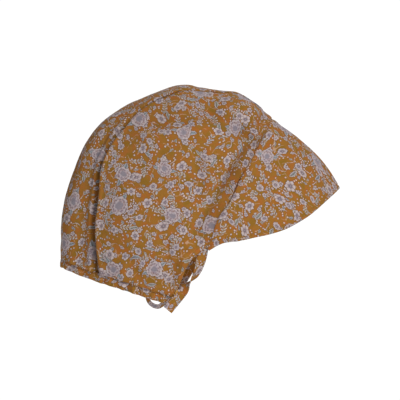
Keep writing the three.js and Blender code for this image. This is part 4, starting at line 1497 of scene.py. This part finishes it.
@dataclass
class CentrePanel:
    """The strip from the forehead over the top and down the nape."""

    form: BonnetForm
    wardrobe: Wardrobe
    rows: int = 340
    columns: int = 72
    valley: tuple[float, float, float, float, float] = (0.4, 0.9, 0.09, 0.19, -0.75)

    def build(self) -> bpy.types.Object:
        """Builds and dresses the panel.

        Returns:
            The piece.
        """
        form = self.form

        def surface(t: Array, s: Array) -> Array:
            """The panel's cloth without folds."""
            return form.centre_point(form.seam_share(t), 1 - 2 * s)

        cut = Cut.relaxed(surface, (84, 16))
        rows, columns = np.linspace(0, 1, self.rows + 1), crowded(self.columns)
        t, s = np.meshgrid(rows, columns, indexing="ij")
        along, across = form.seam_share(t), 1 - 2 * s
        points = form.centre_point(along, across)
        normals = form.outward(points)
        start, end, fade, reach, rise = self.valley
        beside = np.exp(-(((1 - np.abs(across)) / reach - 1) ** 2))
        outside = np.maximum(np.maximum(start - along, along - end), 0) / fade
        height = rise * form.fold_depth * beside * np.maximum(0, 1 - outside**2)
        height += form.fold_height(points[..., 0], points[..., 2]) * np.abs(across) ** 3
        flat = cut.at(rows, columns)
        seam = np.minimum(distance_to(flat, flat[:, -1])[0], distance_to(flat, flat[:, 0])[0])
        # Painted shade by the seams and along the hem.
        depth = form.painted_seam_shade(points, seam) + 0.5 * np.exp(-((distance_to(flat, flat[-1, :])[0] / 0.7) ** 2))
        height += self.relief(flat, points)
        points = points + normals * height[..., None]
        piece = lay("centre_cloth", points, flat + (-160, 210), [self.wardrobe.print, self.wardrobe.lining], depth)
        thicken(piece, form.cloth, 0.6)
        declare(piece, "centre_panel")
        return piece

    def relief(self, flat: Array, points: Array) -> Array:
        """The cloth's small relief.

        Args:
            flat: the cut.
            points: the cloth without it.

        Returns:
            Millimetres outwards.
        """
        rumple = Rumple(37)
        right, along = distance_to(flat, flat[:, -1])
        left, _ = distance_to(flat, flat[:, 0])
        front, _ = distance_to(flat, flat[0, :])
        hem, run = distance_to(flat, flat[-1, :])
        seam = np.minimum(left, right)
        height = self.form.seam_height(points, seam) + 0.25 * rumple(along, 0, 5.0) * np.exp(-seam / 6)
        pleats = rumple(run, hem * 0.12, 6.0) + 0.5 * rumple(run + 40, hem * 0.2, 3.4)
        height += 1.2 * pleats * np.exp(-hem / 15) - 0.35 * np.exp(-((hem / 0.8) ** 2))
        height += -0.4 * np.exp(-((front / 1.1) ** 2)) - 1.1 * np.exp(-(((front - 5) / 8) ** 2))
        height += 0.7 * rumple.layers(flat[..., 0], flat[..., 1], 30) + 0.15 * rumple(flat[..., 0], flat[..., 1], 6)
        return height


@dataclass
class Peak:
    """The soft stitched peak, two cloths turned in at the edge."""

    form: BonnetForm
    wardrobe: Wardrobe
    rows: int = 84
    columns: int = 220
    band: float = 3.6
    spread: float = 2.2

    def __post_init__(self) -> None:
        """Lays the free edge through its table."""
        mirrored = PEAK_EDGE[:0:-1] * (1, 1, -1)
        self.edge = Curve.through(np.vstack([mirrored, PEAK_EDGE]))
        form = self.form
        self.ear = form.front_line(form.peak_end)
        x, z = form.place(FOREHEAD[0], FOREHEAD[1])
        self.tip = (x + form.peak_reach, z - form.peak_fall)

    def seam(self, side: Array) -> tuple[Array, Array]:
        """The peak's inner edge a gap ahead of the crown, and its normals."""
        points, normals = self.form.crown_edge(side)
        run = self.form.crown_edge(np.minimum(side + 0.01, 1))[0] - self.form.crown_edge(np.maximum(side - 0.01, 0))[0]
        return points + unit(np.cross(normals, run)) * 0.2, normals

    def surface(self, out: Array, around: Array) -> Array:
        """The peak's upper cloth without relief.

        Args:
            out: 0 at the seam and 1 at the free edge.
            around: -1 at the right ear, 0 at the tip and 1 at the left ear.

        Returns:
            The points.
        """
        side = np.abs(around)
        seam = self.seam(side)[0]
        edge = self.edge((1 + side) / 2)
        far = np.stack([
            self.ear[0] + edge[..., 0] * (self.tip[0] - self.ear[0]),
            -edge[..., 2] * self.form.half,
            self.tip[1] + edge[..., 1] * (self.ear[1] - self.tip[1]),
        ], -1)
        camber = 4 * out * (1 - out) * self.form.peak_camber * (1 - side**2)
        up = unit(np.stack([seam[..., 2] - far[..., 2], np.zeros_like(side), far[..., 0] - seam[..., 0]], -1))
        points = seam + (far - seam) * out[..., None] + up * camber[..., None]
        points[..., 1] *= np.where(around > 0, -1, 1)
        return points

    def fan(self, points: Array) -> Array:
        """A first guess of the peak's flat cut: a crescent."""
        out = np.concatenate([np.zeros((1, points.shape[1])), np.cumsum(np.linalg.norm(np.diff(points, axis=0), axis=-1), axis=0)])
        seam = np.concatenate([[0], np.cumsum(np.linalg.norm(np.diff(points[0], axis=0), axis=-1))])
        radius, turn = seam[-1] / self.spread, (seam / seam[-1] - 0.5) * self.spread
        return np.stack([(radius + out) * np.cos(turn) - radius, (radius + out) * np.sin(turn)], -1)

    def build(self) -> bpy.types.Object:
        """Builds and dresses the peak.

        Returns:
            The piece.
        """
        form = self.form
        cut = Cut.relaxed(lambda s, t: self.surface(s, 2 * t - 1), (14, 56), start=self.fan, rounds=200, give=0.5)
        outs = 1 - (1 - np.linspace(0, 1, self.rows + 1)) ** 1.6
        arounds = crowded(self.columns, 0.6)
        out, around = np.meshgrid(outs, 2 * arounds - 1, indexing="ij")
        upper = self.surface(out, around)
        near = 1e-3
        o, a = np.clip(out, 0.02, 1 - near), np.clip(around, -0.99, 0.99)
        ahead = self.surface(o + near, a) - self.surface(o - near, a)
        aside = self.surface(o, a + near) - self.surface(o, a - near)
        normal = unit(np.cross(ahead, aside))
        crown = self.seam(np.abs(around))[1] * np.stack([np.ones_like(a), np.where(around > 0, -1, 1), np.ones_like(a)], -1)
        share = np.maximum(0, 1 - 3 * out)[..., None]
        normal = unit(normal * (1 - share) + crown * share)
        flat = cut.at(outs, arounds)
        rim, along = distance_to(flat, flat[-1, :])
        ends = np.minimum(distance_to(flat, flat[:, 0])[0], distance_to(flat, flat[:, -1])[0])
        edge = np.minimum(rim, ends)
        seam, _ = distance_to(flat, flat[0, :])
        rumple = Rumple(53)
        full = form.peak_thickness / 2
        half = full * (1 - 0.42 * np.exp(-(((rim - self.band) / 0.8) ** 2)))
        half = rounded(edge, half)
        sway = 0.9 * rumple.layers(flat[..., 0], flat[..., 1], 42, 2) * np.minimum(seam / 12, 1)
        sway += 0.3 * rumple(along, 0, 6.5) * np.exp(-rim / 8) + 0.12 * rumple(flat[..., 0], flat[..., 1], 6)
        sway += -0.4 * np.exp(-((seam / 1.3) ** 2)) + 0.35 * np.exp(-(((seam - 4) / 2.5) ** 2))
        middle = upper + normal * (sway - full)[..., None]
        self.grid, self.normal, self.half = middle, normal, half
        points = wrapped(middle, normal, half, strip=True)
        piece = lay("peak_cloth", points, wrapped_flat(flat, strip=True) + (60, -240), [self.wardrobe.print], welded=True)
        declare(piece, "peak")
        return piece

    def band_stitches(self, stitching: Stitching) -> None:
        """Sews the band inside the free edge, above and below."""
        for sign in (1, -1):
            layer = self.grid + sign * self.normal * self.half[..., None]
            line = inset(layer[::-1], self.band)
            normals = sign * self.normal[int(0.9 * self.rows)]
            stitching.run(line[4:-4], normals[4:-4], 0.05)


@dataclass
class NeckCasing:
    """The narrow casing that the elastic gathers, one piece all round the neck."""

    form: BonnetForm
    wardrobe: Wardrobe
    columns: int = 720
    rows: int = 14

    def build(self) -> bpy.types.Object:
        """Builds and dresses the casing.

        Returns:
            The piece.
        """
        form = self.form

        def surface(rise: Array, t: Array) -> Array:
            """The casing's outside without relief."""
            around = 2 * t - 1
            levels = np.unique(rise)
            points = np.zeros(rise.shape + (3,))
            for level in levels:
                on = rise == level
                points[on] = form.hem_point(np.abs(around[on]), float(level) * form.casing_width)
            points[..., 1] *= np.where(around > 0, -1, 1)
            return points

        cut = Cut.relaxed(surface, (4, 120), rounds=600)
        rises, ts = crowded(self.rows, 0.9), np.linspace(0, 1, self.columns + 1)
        rise, t = np.meshgrid(rises, ts, indexing="ij")
        around = 2 * t - 1
        points = surface(rise, t)
        mirror = np.stack([np.ones_like(t), np.where(around > 0, -1, 1), np.ones_like(t)], -1)
        normal = form.outward(points * mirror) * mirror
        flat = cut.at(rises, ts)
        run = flat[..., 1] - flat[..., 1].min()
        rumple = Rumple(71)
        belly = form.casing_proud * (1 - (2 * rise - 1) ** 4)
        height = belly + form.gather_height(np.abs(around), rise * form.casing_width)
        tuck = rumple(run, rise * 1.2, 3.1) + 0.35 * rumple(run, rise * 2 + 30, 1.7)
        tuck = tuck * np.minimum(np.minimum(run, run.max() - run) / 16, 1)
        height = height + 0.5 * tuck * (1 - 0.4 * rise)
        edge = np.minimum(rise, 2.2 * (1 - rise)) * form.casing_width
        ends = np.minimum(run, run.max() - run)
        half = rounded(np.minimum(edge, ends), np.full_like(t, form.casing_thickness / 2))
        half = half * (1 - 0.35 * np.exp(-(((rise * form.casing_width - 7.4) / 0.7) ** 2)))
        middle = points + normal * (height - form.casing_thickness / 2)[..., None]
        middle[..., 2] += 0.15 * rumple(run, 0, 9.0) * (1 - rise)
        self.grid, self.normal, self.half = middle, normal, half
        # Painted shade along the groove near the upper edge and in the tucks.
        depth = 0.6 * np.exp(-(((rise * form.casing_width - 7.9) / 0.8) ** 2)) + 0.3 * np.clip(-tuck, 0, 1)
        depth = np.concatenate([depth, depth[-2::-1]])
        piece = lay("casing_cloth", wrapped(middle, normal, half), wrapped_flat(flat) + (30, 500), [self.wardrobe.print], depth, True)
        declare(piece, "neck_casing")
        return piece

    def stitches(self, stitching: Stitching) -> None:
        """Sews the casing down along its upper edge."""
        layer = self.grid + self.normal * self.half[..., None]
        line = inset(layer[::-1], 1.7)
        stitching.run(line[3:-3], self.normal[-4][3:-3], 0.08)


@dataclass
class Tie:
    """A tape tie with turned edges and a plain squared end."""

    form: BonnetForm
    wardrobe: Wardrobe
    side: Side
    steps: int = 180
    rows: int = 12
    sewn: tuple[float, float] = (0.17, -0.215)

    def surface(self, s: Array, t: Array) -> Array:
        """The tape midway through its thickness.

        Args:
            s: share across its width.
            t: share along its length.

        Returns:
            The points.
        """
        form, side = self.form, self.side.value
        track = Curve.through(RIGHT_TIE if self.side is Side.RIGHT else LEFT_TIE)
        x, z = form.place(*self.sewn)
        inner = form.half_width(x, z) - form.peak_thickness - 2 * form.gap - form.tie_thickness / 2

        def line(where: Array) -> Array:
            """The tape's middle line."""
            row = track(where)
            return np.stack([x + row[..., 0] * form.tie_fall, side * inner * row[..., 2], z + row[..., 1] * form.tie_fall], -1)

        run = unit(line(t + 1e-3) - line(t - 1e-3))
        turn = np.radians(track(t)[..., 3])
        across = unit(np.stack([run[..., 2], np.zeros_like(t), -run[..., 0]], -1)) * np.cos(turn)[..., None]
        across[..., 1] = side * np.sin(turn)
        return line(t) + across * ((s - 0.5) * form.tie_width)[..., None]

    def build(self) -> bpy.types.Object:
        """Builds and dresses the tie.

        Returns:
            The piece.
        """
        form = self.form
        cut = Cut.relaxed(lambda s, t: self.surface(s, 0.002 + 0.996 * t), (4, 60), rounds=500)
        ss, ts = crowded(self.rows, 0.9), crowded(self.steps, 0.3)
        s, t = np.meshgrid(ss, 0.002 + 0.996 * ts, indexing="ij")
        middle = self.surface(s, t)
        near = 1e-3
        along = self.surface(s, t + near) - self.surface(s, t - near)
        across = self.surface(s + near, t) - self.surface(s - near, t)
        normal = unit(np.cross(along, across))
        flat = cut.at(ss, ts)
        run = flat[..., 1] - flat[..., 1].min()
        edge = np.minimum(np.minimum(s, 1 - s) * form.tie_width, np.minimum(run, run.max() - run))
        rumple = Rumple(83 + self.side.value)
        half = form.tie_thickness / 2 * (1 - 0.3 * np.exp(-(((edge - 1.5) / 0.5) ** 2)))
        half = rounded(edge, half)
        sway = 0.25 * rumple(run, s * form.tie_width, 6) + 0.1 * rumple(run, s * 10, 2.6)
        middle = middle + normal * sway[..., None]
        self.grid, self.normal, self.half = middle, normal, half
        name = self.side.name.lower()
        offset = (286 * self.side.value, 118)
        piece = lay(f"tie_tape_{name}", wrapped(middle, normal, half), wrapped_flat(flat) + offset, [self.wardrobe.print], welded=True)
        declare(piece, f"tie_{name}")
        return piece

    def stitches(self, stitching: Stitching) -> None:
        """Sews both edges of the tape."""
        for sign in (1, -1):
            layer = self.grid + sign * self.normal * self.half[..., None]
            for grid in (layer, layer[::-1]):
                stitching.run(inset(grid, 1.5)[6:-6], sign * self.normal[self.rows // 2][6:-6], 0.06)


@dataclass
class Studio:
    """The camera, the soft lights and the pale floor."""

    camera_at: tuple[float, float, float] = (0.016, -4.0, -0.114)
    lens: float = 360.0
    floor_at: float = -0.34
    floor_reach: float = 0.5
    world: float = 0.22

    def build(self) -> None:
        """Sets up the studio."""
        scene = bpy.context.scene
        scene.view_settings.view_transform = "Standard"
        data = bpy.data.cameras.new("viewpoint")
        data.lens, data.sensor_width, data.clip_end = self.lens, 36.0, 50.0
        camera = bpy.data.objects.new("viewpoint", data)
        camera.location, camera.rotation_euler = self.camera_at, (math.pi / 2, 0.0, 0.0)
        scene.collection.objects.link(camera)
        scene.camera = camera
        self.air()
        self.lamp("key", (1.4, -1.9, 2.1), 0.9, 56.0)
        self.lamp("fill", (-1.9, -2.2, -0.4), 2.0, 15.0)
        self.lamp("low", (1.1, -2.5, -0.35), 0.8, 15.0)
        self.lamp("back", (0.4, 2.4, 1.6), 1.8, 20.0)
        self.floor()

    def air(self) -> None:
        """White surroundings, whiter to the eye than to the cloth."""
        world = bpy.data.worlds.new("white_studio")
        world.use_nodes = True
        tree = world.node_tree
        tree.nodes.clear()
        seen = tree.nodes.new("ShaderNodeLightPath")
        glow = [tree.nodes.new("ShaderNodeBackground") for _ in range(2)]
        glow[0].inputs["Strength"].default_value = self.world
        glow[1].inputs["Strength"].default_value = 1.05
        for node in glow:
            node.inputs["Color"].default_value = (1.0, 1.0, 1.0, 1.0)
        mix = tree.nodes.new("ShaderNodeMixShader")
        out = tree.nodes.new("ShaderNodeOutputWorld")
        tree.links.new(seen.outputs["Is Camera Ray"], mix.inputs[0])
        tree.links.new(glow[0].outputs[0], mix.inputs[1])
        tree.links.new(glow[1].outputs[0], mix.inputs[2])
        tree.links.new(mix.outputs[0], out.inputs["Surface"])
        bpy.context.scene.world = world

    def lamp(self, name: str, at: tuple[float, float, float], size: float, power: float) -> None:
        """Hangs a soft lamp that faces the bonnet.

        Args:
            name: its name.
            at: where it hangs.
            size: its width in metres.
            power: in watts.
        """
        data = bpy.data.lights.new(name, "AREA")
        data.shape, data.size, data.energy = "DISK", size, power
        lamp = bpy.data.objects.new(name, data)
        lamp.location = at
        lamp.rotation_euler = (Vector((0.0, 0.0, -0.11)) - Vector(at)).to_track_quat("-Z", "Y").to_euler()
        bpy.context.scene.collection.objects.link(lamp)

    def floor(self) -> None:
        """Lays the floor as a wide disc."""
        bm = bmesh.new()
        bmesh.ops.create_circle(bm, cap_ends=True, segments=64, radius=self.floor_reach, matrix=Matrix.Translation((0, 0, self.floor_at)))
        mesh = bpy.data.meshes.new("floor")
        bm.to_mesh(mesh)
        bm.free()
        mesh.materials.append(PalePaper().dress())
        floor = bpy.data.objects.new("floor", mesh)
        bpy.context.scene.collection.objects.link(floor)


def main() -> None:
    """Builds the bonnet and its studio."""
    logging.basicConfig(level=logging.INFO, format="%(message)s")
    form, wardrobe = BonnetForm(), Wardrobe()
    Studio().build()
    panels = [SidePanel(form, wardrobe, side) for side in Side]
    centre, peak, casing = CentrePanel(form, wardrobe), Peak(form, wardrobe), NeckCasing(form, wardrobe)
    ties = [Tie(form, wardrobe, side) for side in Side]
    for part in (*panels, centre, peak, casing, *ties):
        part.build()
    edge = Stitching("edge_stitches", wardrobe.thread)
    peak.band_stitches(edge)
    casing.stitches(edge)
    for panel in panels:
        panel.hem_stitches(edge)
    edge.close()
    fine = Stitching("tie_stitches", wardrobe.thread, pitch=2.1, length=1.5, width=0.36, rise=0.24)
    for tie in ties:
        tie.stitches(fine)
    fine.close()


if __name__ == "__main__":
    main()
